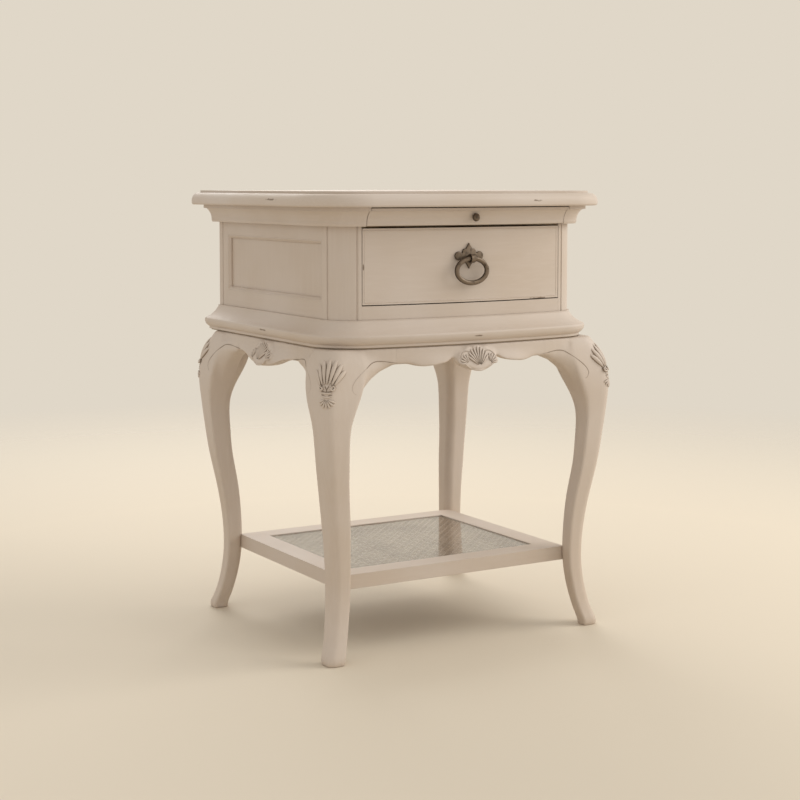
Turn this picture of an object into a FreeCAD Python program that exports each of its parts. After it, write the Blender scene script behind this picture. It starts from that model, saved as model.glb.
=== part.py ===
import FreeCAD, Part
import math
import os
import types

import Sketcher

# A painted bedside table with a bowed front. X runs to the right, the front faces -Y and Z runs up.
# The origin is on the floor, in the middle of the whole outline. All sizes are millimetres.
DOC = FreeCAD.newDocument("Nightstand")
SHEET = DOC.addObject("Spreadsheet::Sheet", "Sizes")
VECTOR = FreeCAD.Vector

DRIVING = {
    # Heights, from the floor up
    "stand_height": 440.8, "spacer_thick": 2.0, "base_height": 37.2, "case_height": 158.0,
    "slab_thick": 18.5, "field_thick": 3.5,
    # Plan of the case, with its front reach at the middle of the bow, from the line between the legs
    "case_width": 415.0, "front_reach": 195.0, "back_reach": 207.0, "corner_radius": 46.0,
    "bow_radius": 1120.0,
    # Top
    "top_overhang": 45.0, "top_back_overhang": 5.0, "field_inset": 15.0, "top_ovolo": 12.0,
    "top_under_round": 3.5, "top_edge_flat": 2.0,
    # Cornice and the slide sawn out of it
    "cornice_height": 27.0, "cornice_lip": 12.0, "cornice_bead": 13.5, "cornice_lip_rise": 3.0,
    "cornice_bead_rise": 6.0, "cove_top": 22.5, "cornice_fillet": 5.5, "cove_radius": 21.0,
    "cornice_reach": 27.0, "slide_joint": 0.8, "slide_under_gap": 0.8, "slide_over_gap": 1.5,
    "slide_thick": 13.0, "slide_back_gap": 52.0, "knob_stem_radius": 2.5, "knob_radius": 5.9,
    "knob_drop": 15.5, "knob_head_start": 17.5, "knob_head_length": 8.0, "knob_collar": 2.8,
    "knob_crown_radius": 6.0, "knob_crown_flat": 1.0, "knob_fit": 0.05,
    # Case frame and panels
    "post_quirk_radius": 1.3, "post_quirk_angle": 17.0, "back_post_width": 31.0, "back_post_depth": 30.0,
    "back_quirk_inset": 13.0, "rail_thick": 18.0, "side_top_rail": 47.0, "side_bottom_rail": 25.0,
    "panel_recess": 6.0, "panel_thick": 8.0, "moulding_width": 5.0, "moulding_bevel": 3.5,
    "back_panel_thick": 8.0, "back_panel_inset": 4.0, "front_rail_height": 19.5, "front_rail_thick": 17.0,
    "divider_thick": 8.0, "divider_setback": 4.0, "divider_drop": 1.5,
    "runner_width": 40.0, "runner_height": 12.0, "running_gap": 0.3,
    # Base moulding profile, as reach beyond the case and height
    "base_inner": 25.0, "base_step": 2.8, "base_step_drop": 2.0, "base_cove_reach": 24.3,
    "base_cove_radius": 42.0, "nosing_reach": 26.3, "nosing_top_rise": 3.0, "nosing_top_radius": 3.25,
    "nosing_rise": 11.0, "nosing_foot_reach": 18.5, "nosing_foot_rise": 3.7, "nosing_foot_radius": 12.0,
    "bottom_board_thick": 9.0, "board_fit": 0.2, "spacer_reach": 15.0,
    # Drawer
    "drawer_gap": 1.4, "drawer_end_gap": 0.9, "drawer_front_thick": 17.0, "drawer_side_thick": 11.0,
    "drawer_side_drop": 15.0, "drawer_side_gap": 2.0, "drawer_back_gap": 25.0, "drawer_bottom_thick": 5.0,
    "drawer_bottom_lift": 8.0, "drawer_back_drop": 6.0,
    # Ring pull
    "plate_thick": 3.0, "plate_half_width": 24.0, "plate_tip": 18.8, "plate_waist": 8.0, "plate_shoulder": 7.0,
    "plate_lobe_fullness": 0.6, "plate_tip_fullness": 1.15, "pull_rise": 12.7, "ring_half_width": 25.5,
    "ring_half_height": 17.5, "ring_wire_radius": 3.5, "ring_standoff": 6.8, "eye_radius": 6.2,
    "eye_length": 7.0, "eye_clearance": 0.5, "eye_neck": 7.0, "eye_rise": -3.6,
    # Legs
    "leg_inset_side": 3.0, "leg_inset_front": 6.9, "leg_inset_back": 31.5, "leg_side_round": 2.5,
    # Aprons and ears
    "apron_reach": 18.0, "apron_thick": 20.0, "apron_height": 23.0, "apron_lobe_drop": 26.0,
    "apron_cusp_drop": 16.0, "apron_cusp_half": 36.0, "apron_lobe_half": 70.0, "apron_arch_half": 105.0,
    "apron_lobe_radius": 60.0, "apron_tongue_drop": 36.5, "apron_lap": 0.4, "side_arch_half": 98.0,
    "side_arch_radius": 120.0, "side_cusp_half": 50.0, "side_cusp_drop": 28.0, "side_tongue_drop": 37.5,
    "ear_thick": 22.0, "ear_start": -4.0,
    # Carved shells
    "shell_half_width": 33.0, "shell_height": 33.0, "shell_relief": 5.5, "shell_drop": 4.5,
    "shell_lobe_fullness": 0.56, "knee_shell_half_width": 21.0, "knee_shell_height": 36.0,
    "knee_shell_relief": 2.5, "knee_shell_drop": 36.0,
    # Shelf
    "shelf_height": 117.5, "shelf_thick": 20.5, "shelf_rail": 35.0, "shelf_inset": 10.0,
    "cane_thick": 3.0, "glass_thick": 3.0, "glass_drop": 1.2, "glass_gap": 0.5,
}

# Stations of a leg: name, level, lean of its middle along the outward diagonal, half of its side and the
# round of its outer and inner corners. The lower levels count from the floor and the upper ones down from
# the top of the stand; a middle level is a share of the way between those two groups.
LOWER_STATIONS = (
    ("toe", 0.0, 21.5, 12.0, 10.0), ("pad", 6.0, 21.8, 13.0, 11.0), ("instep", 17.0, 17.5, 13.1, 12.0),
    ("arch", 45.0, 7.5, 13.0, 12.5), ("ankle", 95.0, -1.2, 13.6, 13.0), ("shin", 142.0, -0.5, 14.2, 13.0),
)
MIDDLE_STATIONS = (("calf", 0.42, 8.0, 15.8, 13.0), ("shank", 0.73, 17.5, 16.8, 13.5))
UPPER_STATIONS = (
    ("thigh", 151.0, 22.5, 18.2, 14.0), ("hollow", 106.0, 25.0, 21.0, 14.0), ("knee", 76.0, 20.0, 27.0, 15.0),
    ("brow", 51.0, 12.0, 31.0, 15.0), ("crown", 26.0, 4.0, 31.0, 20.0), ("head", 0.0, -4.0, 25.0, 22.0),
)
STATIONS = LOWER_STATIONS + MIDDLE_STATIONS + UPPER_STATIONS
for station, level, lean, half, corner in STATIONS:
    DRIVING[station + "_level"] = level
    DRIVING[station + "_lean"] = lean
    DRIVING[station + "_half"] = half
    DRIVING[station + "_corner"] = corner

# Levels of the ears beside the knees: drop below the stand's top, and how far from the leg's middle the ear
# ends and its proud face bends back towards the apron
EAR_LEVELS = (("ear_tip", 86.0, 8.5, 2.0), ("ear_heel", 72.0, 16.5, 7.5), ("ear_waist", 56.5, 26.5, 14.0),
              ("ear_low", 43.0, 39.5, 21.0), ("ear_mid", 32.5, 54.5, 25.5), ("ear_high", 25.5, 73.0, 28.0),
              ("ear_top", 12.0, 82.0, 28.0))
for level, drop, reach, bend in EAR_LEVELS:
    DRIVING[level + "_drop"] = drop
    DRIVING[level + "_reach"] = reach
    DRIVING[level + "_bend"] = bend


class Dim:
    """A length that carries its value and the sheet formula that drives it."""

    def __init__(self, value, text):
        self.value = float(value)
        self.text = text

    def __add__(self, other):
        other = dim(other)
        return Dim(self.value + other.value, "(%s + %s)" % (self.text, other.text))

    def __sub__(self, other):
        other = dim(other)
        return Dim(self.value - other.value, "(%s - %s)" % (self.text, other.text))

    def __mul__(self, other):
        other = dim(other)
        return Dim(self.value * other.value, "(%s * %s)" % (self.text, other.text))

    def __truediv__(self, other):
        other = dim(other)
        return Dim(self.value / other.value, "(%s / %s)" % (self.text, other.text))

    def __neg__(self):
        return Dim(-self.value, "(0 - %s)" % self.text)

    def root(self):
        return Dim(math.sqrt(self.value), "sqrt(%s)" % self.text)

    def at_most(self, limit):
        return Dim(min(self.value, limit.value), "min(%s; %s)" % (self.text, limit.text))


def dim(item):
    """A plain number as a Dim; a Dim as it is."""
    return item if isinstance(item, Dim) else Dim(item, "%.6f" % item)


def fill_sheet():
    """Write every driving size to the sheet and return the sizes by name."""
    sizes = {}
    for row, (name, value) in enumerate(DRIVING.items(), start=1):
        SHEET.set("A%d" % row, name)
        SHEET.set("B%d" % row, str(value))
        SHEET.setAlias("B%d" % row, name)
        sizes[name] = Dim(value, "Sizes." + name)
    DOC.recompute()
    return types.SimpleNamespace(**sizes)


S = fill_sheet()
ZERO = dim(0.0)
HALF_ROOT = math.sqrt(0.5)
NODES = []
# A carved fan: its number of lobes, where the first starts, and how far its centre lies below the middle
FAN_LOBES = 7
FAN_START = -10.0
FAN_SINK = 0.05


def keep(thing, label):
    """Mark a finished object as a piece of the table, under its own name."""
    thing.Label = label
    NODES.append(thing)
    return thing


def box(name, x_pair, y_pair, z_pair):
    """A board between three pairs of faces."""
    board = DOC.addObject("Part::Box", name)
    for size, axis, (low, high) in zip(("Length", "Width", "Height"), "xyz", (x_pair, y_pair, z_pair)):
        board.setExpression(size, (high - low).text)
        board.setExpression("Placement.Base." + axis, low.text)
    return board


def cylinder(name, radius, height, base, axis=None):
    """A round bar from base, along Z unless an axis is given."""
    bar = DOC.addObject("Part::Cylinder", name)
    bar.setExpression("Radius", radius.text)
    bar.setExpression("Height", height.text)
    turn = FreeCAD.Rotation(VECTOR(0, 0, 1), axis or VECTOR(0, 0, 1))
    bar.Placement = FreeCAD.Placement(VECTOR(0, 0, 0), turn)
    for letter, place in zip("xyz", base):
        bar.setExpression("Placement.Base." + letter, place.text)
    return bar


def boolean(kind, name, base, tool):
    """The cut or the common part of two objects."""
    result = DOC.addObject("Part::" + kind, name)
    result.Base = base
    result.Tool = tool
    return result


def joined(name, shapes):
    """Several objects as one."""
    result = DOC.addObject("Part::Compound", name)
    result.Links = shapes
    return result


def mirrored(name, source, normal):
    """A copy on the other side of the middle plane with this normal."""
    result = DOC.addObject("Part::Mirroring", name)
    result.Source = source
    result.Normal = normal
    result.Base = VECTOR(0, 0, 0)
    return result


def across(name, source):
    """A right-hand copy of a left-hand piece."""
    return mirrored(name, source, VECTOR(1, 0, 0))


def sketch_on(body, role, name, lift=None):
    """An empty sketch on one of the body's own planes, moved along that plane's normal."""
    plane = next(item for item in body.Origin.OriginFeatures if item.Role == role)
    sketch = body.newObject("Sketcher::SketchObject", name)
    sketch.AttachmentSupport = [(plane, "")]
    sketch.MapMode = "FlatFace"
    if lift is not None:
        sketch.AttachmentOffset = FreeCAD.Placement(VECTOR(0, 0, lift.value), FreeCAD.Rotation())
        sketch.setExpression("AttachmentOffset.Base.z", lift.text)
    return sketch


def arc_between(start, end, radius):
    """The shorter arc from start to end; a positive radius turns left and a negative one right."""
    chord = end - start
    rise = math.sqrt(max(radius * radius - chord.Length ** 2 / 4, 0.0))
    normal = VECTOR(-chord.y, chord.x, 0).normalize()
    centre = (start + end) * 0.5 + normal * math.copysign(rise, radius)
    first, last = (start, end) if radius > 0 else (end, start)
    angles = [math.atan2(p.y - centre.y, p.x - centre.x) for p in (first, last)]
    return Part.ArcOfCircle(Part.Circle(centre, VECTOR(0, 0, 1), abs(radius)), *angles)


def bind(sketch, constraint, length):
    """Add a constraint whose value follows the sheet."""
    index = sketch.addConstraint(constraint)
    sketch.setExpression("Constraints[%d]" % index, length.text)


def draw(sketch, nodes, arcs=None, closed=True):
    """Lines and arcs through the nodes. arcs holds a radius for the stretch after a node."""
    arcs = arcs or {}
    points = [VECTOR(x.value, y.value, 0) for x, y in nodes]
    count = len(nodes) if closed else len(nodes) - 1
    ends = []
    for i in range(count):
        start, end = points[i], points[(i + 1) % len(points)]
        radius = arcs.get(i)
        shape = arc_between(start, end, radius.value) if radius else Part.LineSegment(start, end)
        index = sketch.addGeometry(shape, False)
        ends.append((index, 1, 2) if radius is None or radius.value > 0 else (index, 2, 1))
    for i in range(count if closed else count - 1):
        following = ends[(i + 1) % count]
        sketch.addConstraint(Sketcher.Constraint("Coincident", ends[i][0], ends[i][2], following[0], following[1]))
    spots = [(ends[i][0], ends[i][1]) for i in range(count)]
    if not closed:
        spots.append((ends[-1][0], ends[-1][2]))
    for (index, spot), (x, y) in zip(spots, nodes):
        bind(sketch, Sketcher.Constraint("DistanceX", index, spot, x.value), x)
        bind(sketch, Sketcher.Constraint("DistanceY", index, spot, y.value), y)
    for i, radius in arcs.items():
        size = radius if radius.value > 0 else -radius
        bind(sketch, Sketcher.Constraint("Radius", ends[i][0], size.value), size)


def draw_circle(sketch, x, y, radius):
    """A circle at x, y."""
    index = sketch.addGeometry(Part.Circle(VECTOR(x.value, y.value, 0), VECTOR(0, 0, 1), radius.value), False)
    bind(sketch, Sketcher.Constraint("DistanceX", index, 3, x.value), x)
    bind(sketch, Sketcher.Constraint("DistanceY", index, 3, y.value), y)
    bind(sketch, Sketcher.Constraint("Radius", index, radius.value), radius)


def new_body(name):
    return DOC.addObject("PartDesign::Body", name)


def pad(body, name, sketch, length, reverse=False):
    """A sketch raised into a solid."""
    feature = body.newObject("PartDesign::Pad", name)
    feature.Profile = sketch
    feature.Reversed = reverse
    feature.setExpression("Length", length.text)
    DOC.recompute()
    return feature


def pipe(body, name, profile, spine):
    """A profile run along a path."""
    feature = body.newObject("PartDesign::AdditivePipe", name)
    feature.Profile = profile
    feature.Spine = (spine, [])
    DOC.recompute()
    return feature


def loft(body, name, sections, ruled):
    """A solid through several sections."""
    feature = body.newObject("PartDesign::AdditiveLoft", name)
    feature.Profile = sections[0]
    feature.Sections = sections[1:]
    feature.Ruled = ruled
    DOC.recompute()
    return feature


def soften(body, name, feature, chosen, radius, kind="Fillet"):
    """Round or bevel those edges of a feature for which chosen is true."""
    names = ["Edge%d" % n for n, edge in enumerate(feature.Shape.Edges, start=1) if chosen(edge)]
    result = body.newObject("PartDesign::" + kind, name)
    result.Base = (feature, names)
    result.setExpression("Radius" if kind == "Fillet" else "Size", radius.text)
    DOC.recompute()
    return result


# Places that several pieces share. The plan is laid out from the case's own datum line and then moved along
# Y, so that the origin lies midway between the front edge of the top and the back of the knees.
KNEE_FACE = S.knee_lean * HALF_ROOT + S.knee_half
HALF_CASE = S.case_width / 2
CORNER_X = HALF_CASE - S.corner_radius
BOW_INNER = S.bow_radius - S.corner_radius
CORNER_FALL = (BOW_INNER * BOW_INNER - CORNER_X * CORNER_X).root()
FACE_REACH = S.front_reach - S.bow_radius + CORNER_FALL * (S.bow_radius / BOW_INNER)
BACK_LEG_REACH = S.back_reach - S.leg_inset_back
DATUM_Y = (S.front_reach + S.top_overhang - BACK_LEG_REACH - KNEE_FACE) / 2
FRONT_Y = DATUM_Y - S.front_reach
FACE_Y = DATUM_Y - FACE_REACH
BACK_Y = DATUM_Y + S.back_reach
BOW_Y = FRONT_Y + S.bow_radius
CORNER_Y = BOW_Y - CORNER_FALL
OPENING_X = CORNER_X * (S.bow_radius / BOW_INNER)
LEG_X = HALF_CASE - S.leg_inset_side
LEG_FRONT_Y = FACE_Y + S.leg_inset_front
LEG_BACK_Y = BACK_Y - S.leg_inset_back
MID_Y = (LEG_FRONT_Y + LEG_BACK_Y) / 2
LEG_Y = LEG_BACK_Y - MID_Y
BASE_Z = S.stand_height + S.spacer_thick
CASE_Z = BASE_Z + S.base_height
SLAB_Z = CASE_Z + S.case_height
FIELD_Z = SLAB_Z + S.slab_thick
CORNICE_Z = SLAB_Z - S.cornice_height
DRAWER_LOW_Z = CASE_Z + S.front_rail_height
DIVIDER_Z = CORNICE_Z - S.divider_drop
RUNNER_Z = DRAWER_LOW_Z + S.drawer_gap
SLIDE_Z = DIVIDER_Z + S.divider_thick + S.running_gap
PANEL_BACK_Y = BACK_Y - S.back_post_width
BACK_PANEL_Y = BACK_Y - S.back_panel_inset - S.back_panel_thick
RAIL_X = HALF_CASE - S.rail_thick


def plan_nodes(reach, back):
    """The outline of the bowed plan, moved outwards by reach, from back left round the front to back right."""
    stretch = (S.bow_radius + reach) / BOW_INNER
    bow_x = CORNER_X * stretch
    bow_y = BOW_Y + (CORNER_Y - BOW_Y) * stretch
    side_x = HALF_CASE + reach
    nodes = [(-side_x, back), (-side_x, CORNER_Y), (-bow_x, bow_y), (bow_x, bow_y), (side_x, CORNER_Y),
             (side_x, back)]
    corner = S.corner_radius + reach
    return nodes, {1: corner, 2: S.bow_radius + reach, 3: corner}


def plan_board(name, reach, back, low, thick):
    """A flat board with the bowed outline."""
    body = new_body(name)
    sketch = sketch_on(body, "XY_Plane", name + "_plan", low)
    draw(sketch, *plan_nodes(reach, back))
    return body, pad(body, name + "_pad", sketch, thick)


def edges_at(level, back):
    """Picks the edges at one height, except the one along the back."""
    def chosen(edge):
        box_ = edge.BoundBox
        flat = abs(box_.ZMin - level.value) < 1e-4 and abs(box_.ZMax - level.value) < 1e-4
        return flat and box_.YMin < back.value - 1e-4
    return chosen


def make_top():
    """The moulded slab with a thin raised field on it."""
    back = BACK_Y + S.top_back_overhang
    body, slab = plan_board("top_panel", S.top_overhang, back, SLAB_Z, S.slab_thick)
    room = S.slab_thick - S.top_under_round - S.top_edge_flat
    rounded = soften(body, "top_edge", slab, edges_at(FIELD_Z, back), S.top_ovolo.at_most(room))
    rounded = soften(body, "top_under_edge", rounded, edges_at(SLAB_Z, back), S.top_under_round)
    sketch = sketch_on(body, "XY_Plane", "field_plan", FIELD_Z)
    draw(sketch, *plan_nodes(S.top_overhang - S.field_inset, back))
    pad(body, "field_pad", sketch, S.field_thick)
    keep(body, "top_panel")


def moulding_run(name, outline, arcs):
    """A moulding along both sides and the bowed front, from a profile of reach and height."""
    body = new_body(name)
    nodes, path_arcs = plan_nodes(ZERO, BACK_Y)
    spine = sketch_on(body, "XY_Plane", name + "_path", CASE_Z)
    draw(spine, nodes, path_arcs, closed=False)
    profile = sketch_on(body, "XZ_Plane", name + "_profile", -BACK_Y)
    draw(profile, [(-(HALF_CASE + reach), level) for reach, level in outline], arcs)
    DOC.recompute()
    pipe(body, name + "_run", profile, spine)
    return body


def make_cornice():
    """The coved cornice, in which the stretch over the drawer is sawn out as the slide's front."""
    bead_z = CORNICE_Z + S.cornice_bead_rise
    cove_z = SLAB_Z - S.cornice_fillet
    outline = [(ZERO, CORNICE_Z), (S.cornice_lip, CORNICE_Z), (S.cornice_bead, CORNICE_Z + S.cornice_lip_rise),
               (S.cornice_bead, bead_z), (S.cove_top, cove_z), (S.cornice_reach, cove_z),
               (S.cornice_reach, SLAB_Z), (ZERO, SLAB_Z)]
    run = moulding_run("cornice_run", outline, {3: S.cove_radius})
    far = S.case_width
    deep = S.front_reach * 2
    side = box("cornice_left_stock", (-far, -OPENING_X), (-deep, BACK_Y), (CORNICE_Z, SLAB_Z))
    left = keep(boolean("Common", "cornice_left_cut", run, side), "cornice_left")
    keep(across("cornice_right_copy", left), "cornice_right")
    half = OPENING_X - S.slide_joint
    stock = box("slide_front_stock", (-half, half), (-deep, ZERO),
                (CORNICE_Z + S.slide_under_gap, SLAB_Z - S.slide_over_gap))
    sawn = boolean("Common", "slide_front_sawn", run, stock)
    knob_z = SLAB_Z - S.knob_drop
    hole = cylinder("slide_knob_hole", S.knob_stem_radius + S.knob_fit, deep, (ZERO, ZERO, knob_z), VECTOR(0, -1, 0))
    keep(boolean("Cut", "slide_front_bored", sawn, hole), "slide_front")
    return knob_z


def make_slide(knob_z):
    """The slide's board, with a bowed front edge, and its turned knob."""
    half = OPENING_X - S.slide_joint
    stock = box("slide_stock", (-half, half), (FRONT_Y - S.cornice_reach, BACK_PANEL_Y - S.slide_back_gap),
                (SLIDE_Z, SLIDE_Z + S.slide_thick))
    bow = cylinder("slide_bow", S.bow_radius, S.slide_thick * 3, (ZERO, BOW_Y, SLIDE_Z - S.slide_thick))
    keep(boolean("Common", "slide_shaped", stock, bow), "slide_board")
    body = new_body("knob")
    sketch = sketch_on(body, "YZ_Plane", "knob_profile")
    start = FRONT_Y
    head = FRONT_Y - S.knob_head_start
    tip = head - S.knob_head_length
    collar = head - S.knob_collar
    nodes = [(start, ZERO), (start, S.knob_stem_radius), (head, S.knob_stem_radius), (collar, S.knob_radius),
             (tip, S.knob_crown_flat), (tip, ZERO)]
    draw(sketch, [(y, knob_z + radius) for y, radius in nodes], {3: S.knob_crown_radius})
    turning = body.newObject("PartDesign::Revolution", "knob_turning")
    turning.Profile = sketch
    turning.Angle = 360.0
    axis_line = sketch.addGeometry(Part.LineSegment(VECTOR(start.value, knob_z.value, 0),
                                                    VECTOR(tip.value, knob_z.value, 0)), True)
    sketch.addConstraint(Sketcher.Constraint("Coincident", axis_line, 1, 0, 1))
    sketch.addConstraint(Sketcher.Constraint("Coincident", axis_line, 2, 5, 1))
    turning.ReferenceAxis = (sketch, ["Axis0"])
    DOC.recompute()
    keep(body, "slide_knob")


def make_posts():
    """Rounded front posts and square back posts, with their quirk lines."""
    body = new_body("front_post")
    sketch = sketch_on(body, "XY_Plane", "front_post_plan", CASE_Z)
    draw(sketch, [(-HALF_CASE, CORNER_Y), (-OPENING_X, FACE_Y), (-OPENING_X, CORNER_Y)], {0: S.corner_radius})
    pad(body, "front_post_pad", sketch, S.case_height)
    quirks = sketch_on(body, "XY_Plane", "front_post_quirks", CASE_Z)
    for turn in (S.post_quirk_angle.value, 90 - S.post_quirk_angle.value):
        away = S.corner_radius * math.cos(math.radians(turn))
        forward = S.corner_radius * math.sin(math.radians(turn))
        draw_circle(quirks, -(CORNER_X + away), CORNER_Y - forward, S.post_quirk_radius)
    groove(body, "front_post_grooves", quirks)
    left = keep(body, "post_front_left")
    keep(across("front_post_copy", left), "post_front_right")
    back = new_body("back_post")
    plan = sketch_on(back, "XY_Plane", "back_post_plan", CASE_Z)
    inner = -(HALF_CASE - S.back_post_depth)
    draw(plan, [(-HALF_CASE, PANEL_BACK_Y), (inner, PANEL_BACK_Y), (inner, BACK_Y), (-HALF_CASE, BACK_Y)])
    pad(back, "back_post_pad", plan, S.case_height)
    quirk = sketch_on(back, "XY_Plane", "back_post_quirk", CASE_Z)
    draw_circle(quirk, -HALF_CASE, BACK_Y - S.back_quirk_inset, S.post_quirk_radius)
    groove(back, "back_post_groove", quirk)
    left = keep(back, "post_back_left")
    keep(across("back_post_copy", left), "post_back_right")


def groove(body, name, sketch):
    """Round grooves down the whole height of a post."""
    before = body.Shape.Volume
    cut = body.newObject("PartDesign::Pocket", name)
    cut.Profile = sketch
    cut.Reversed = True
    cut.setExpression("Length", S.case_height.text)
    DOC.recompute()
    if not body.Shape.Volume < before:
        raise RuntimeError(name + " cut nothing")


def make_case_sides():
    """Side rails with a recessed panel between them, and the bevelled moulding round each panel."""
    top_z = SLAB_Z - S.side_top_rail
    low_z = CASE_Z + S.side_bottom_rail
    rail_y = (CORNER_Y, PANEL_BACK_Y)
    for label, levels in (("side_rail_top", (top_z, SLAB_Z)), ("side_rail_bottom", (CASE_Z, low_z))):
        left = keep(box(label + "_board", (-HALF_CASE, -RAIL_X), rail_y, levels), label + "_left")
        keep(across(label + "_copy", left), label + "_right")
    face = -(HALF_CASE - S.panel_recess)
    panel = keep(box("side_panel_board", (face, face + S.panel_thick), rail_y, (low_z, top_z)), "side_panel_left")
    keep(across("side_panel_copy", panel), "side_panel_right")
    body = new_body("side_moulding")
    frame = sketch_on(body, "YZ_Plane", "side_moulding_frame", face)
    inset = S.moulding_width
    for edge in (ZERO, inset):
        low, high = CORNER_Y + edge, PANEL_BACK_Y - edge
        draw(frame, [(low, low_z + edge), (high, low_z + edge), (high, top_z - edge), (low, top_z - edge)])
    strip = pad(body, "side_moulding_pad", frame, S.panel_recess, reverse=True)

    def inner_front(edge):
        middle = edge.CenterOfMass
        outward = abs(edge.BoundBox.XMin + HALF_CASE.value) < 1e-4 and edge.BoundBox.XLength < 1e-4
        inside = (CORNER_Y.value + inset.value / 2 < middle.y < PANEL_BACK_Y.value - inset.value / 2
                  and low_z.value + inset.value / 2 < middle.z < top_z.value - inset.value / 2)
        return outward and inside

    soften(body, "side_moulding_bevel", strip, inner_front, S.moulding_bevel, "Chamfer")
    left = keep(body, "side_moulding_left")
    keep(across("side_moulding_copy", left), "side_moulding_right")


def make_case_inside():
    """The back panel, the rails under and over the drawer, and the runners of the drawer and the slide."""
    inner = HALF_CASE - S.back_post_depth
    keep(box("back_board", (-inner, inner), (BACK_PANEL_Y, BACK_PANEL_Y + S.back_panel_thick), (CASE_Z, SLAB_Z)),
         "back_panel")
    opening = (-OPENING_X, OPENING_X)
    rail_back = FACE_Y + S.front_rail_thick
    stock = box("front_rail_stock", opening, (FRONT_Y - S.cornice_reach, rail_back), (CASE_Z, DRAWER_LOW_Z))
    bow = cylinder("front_rail_bow", S.bow_radius, S.front_rail_height * 3,
                   (ZERO, BOW_Y, CASE_Z - S.front_rail_height))
    keep(boolean("Common", "front_rail_shaped", stock, bow), "front_rail")
    keep(box("divider_board", opening, (FACE_Y + S.divider_setback, CORNER_Y),
             (DIVIDER_Z, DIVIDER_Z + S.divider_thick)), "divider_rail")
    inner_run = -(RAIL_X - S.runner_width)
    runners = []
    for label, top, height in (("drawer_runner", RUNNER_Z - S.running_gap, S.runner_height),
                               ("slide_runner", SLIDE_Z - S.running_gap, S.divider_thick)):
        left = box(label + "_left", (-RAIL_X, inner_run), (CORNER_Y, PANEL_BACK_Y), (top - height, top))
        runners += [left, across(label + "_right", left)]
    keep(joined("runner_set", runners), "case_runners")


def make_base():
    """The base moulding, its back rail, the bottom board and the thin recessed board under it."""
    foot_z = BASE_Z + S.nosing_foot_rise
    nosing_z = foot_z + S.nosing_rise
    cove_z = nosing_z + S.nosing_top_rise
    step_z = CASE_Z - S.base_step_drop
    outline = [(-S.base_inner, BASE_Z), (S.nosing_foot_reach, BASE_Z), (S.nosing_foot_reach, foot_z),
               (S.nosing_reach, nosing_z), (S.base_cove_reach, cove_z), (S.base_step, step_z),
               (S.base_step, CASE_Z), (-S.base_inner, CASE_Z)]
    arcs = {2: -S.nosing_foot_radius, 3: -S.nosing_top_radius, 4: S.base_cove_radius}
    keep(moulding_run("base_run", outline, arcs), "base_moulding")
    inner = HALF_CASE - S.base_inner
    inner_back = BACK_Y - S.base_inner
    keep(box("base_back_board", (-inner, inner), (inner_back, BACK_Y), (BASE_Z, CASE_Z)), "base_back_rail")
    body, _ = plan_board("bottom_plate", -(S.base_inner + S.board_fit), inner_back,
                         CASE_Z - S.bottom_board_thick, S.bottom_board_thick)
    keep(body, "bottom_board")
    body, _ = plan_board("spacer_plate", S.spacer_reach, BACK_Y, S.stand_height, S.spacer_thick)
    keep(body, "spacer_board")


def leg_section(body, name, level, lean, half, corner):
    """A square section with rounded corners, its outer corner towards -X and -Y."""
    sketch = sketch_on(body, "XY_Plane", name, level)
    shift = lean * HALF_ROOT
    left, right = -LEG_X - shift - half, -LEG_X - shift + half
    front, back = LEG_FRONT_Y - shift - half, LEG_FRONT_Y - shift + half
    side = S.leg_side_round
    nodes = [(left + corner, front), (right - side, front), (right, front + side), (right, back - corner),
             (right - corner, back), (left + side, back), (left, back - side), (left, front + corner)]
    draw(sketch, nodes, {1: side, 3: corner, 5: side, 7: corner})
    return sketch


def station_height(station):
    """The height of one station above the floor."""
    level = getattr(S, station[0] + "_level")
    thigh_z = S.stand_height - S.thigh_level
    if station in UPPER_STATIONS:
        return S.stand_height - level
    if station in MIDDLE_STATIONS:
        return S.shin_level + (thigh_z - S.shin_level) * level
    return level


def leg_body(name, skin):
    """The front left leg, lofted through its stations and grown all round by skin."""
    body = new_body(name)
    sections = []
    for station in STATIONS:
        lean, half, corner = (getattr(S, station[0] + item) for item in ("_lean", "_half", "_corner"))
        sections.append(leg_section(body, name + "_" + station[0], station_height(station), lean, half + skin,
                                    corner + skin))
    DOC.recompute()
    loft(body, name + "_loft", sections, ruled=False)
    return body


def turned_back(name, source):
    """A copy at the back of something made at the front of the stand."""
    result = mirrored(name, source, VECTOR(0, 1, 0))
    result.setExpression("Base.y", MID_Y.text)
    return result


def make_legs():
    """Four curved legs; the first is front left. Returns the left ones, and both ends as pairs."""
    front = keep(leg_body("leg", ZERO), "leg_front_left")
    back = keep(turned_back("leg_turned_back", front), "leg_back_left")
    legs = {"front": front, "back": back}
    pairs = {}
    for end, source in legs.items():
        right = keep(across("leg_%s_copy" % end, source), "leg_%s_right" % end)
        pairs[end] = joined("leg_pair_" + end, [source, right])
    return legs, pairs


def apron_outline(end, edge, tongue_drop):
    """The shaped lower edge of an apron that reaches to both ends, as nodes of place and height.

    The edge holds, from the arch to the cusp, a place, a drop and the radius of the arc up to the next one.
    A rounded tongue hangs between the two cusps.
    """
    top = S.stand_height
    low = top - S.apron_height
    left = [(-place, top - drop) for place, drop, _ in edge]
    right = [(place, top - drop) for place, drop, _ in reversed(edge)]
    nodes = [(-end, top), (-end, low)] + left + right + [(end, low), (end, top)]
    cusp_half, cusp_drop, _ = edge[-1]
    hang = tongue_drop - cusp_drop
    last = len(left) + 1
    arcs = {last: (cusp_half * cusp_half + hang * hang) / (hang * 2)}
    for i, (_, _, radius) in enumerate(edge[:-1]):
        arcs[2 + i] = arcs[2 * last - 2 - i] = radius
    return nodes, arcs


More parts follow.
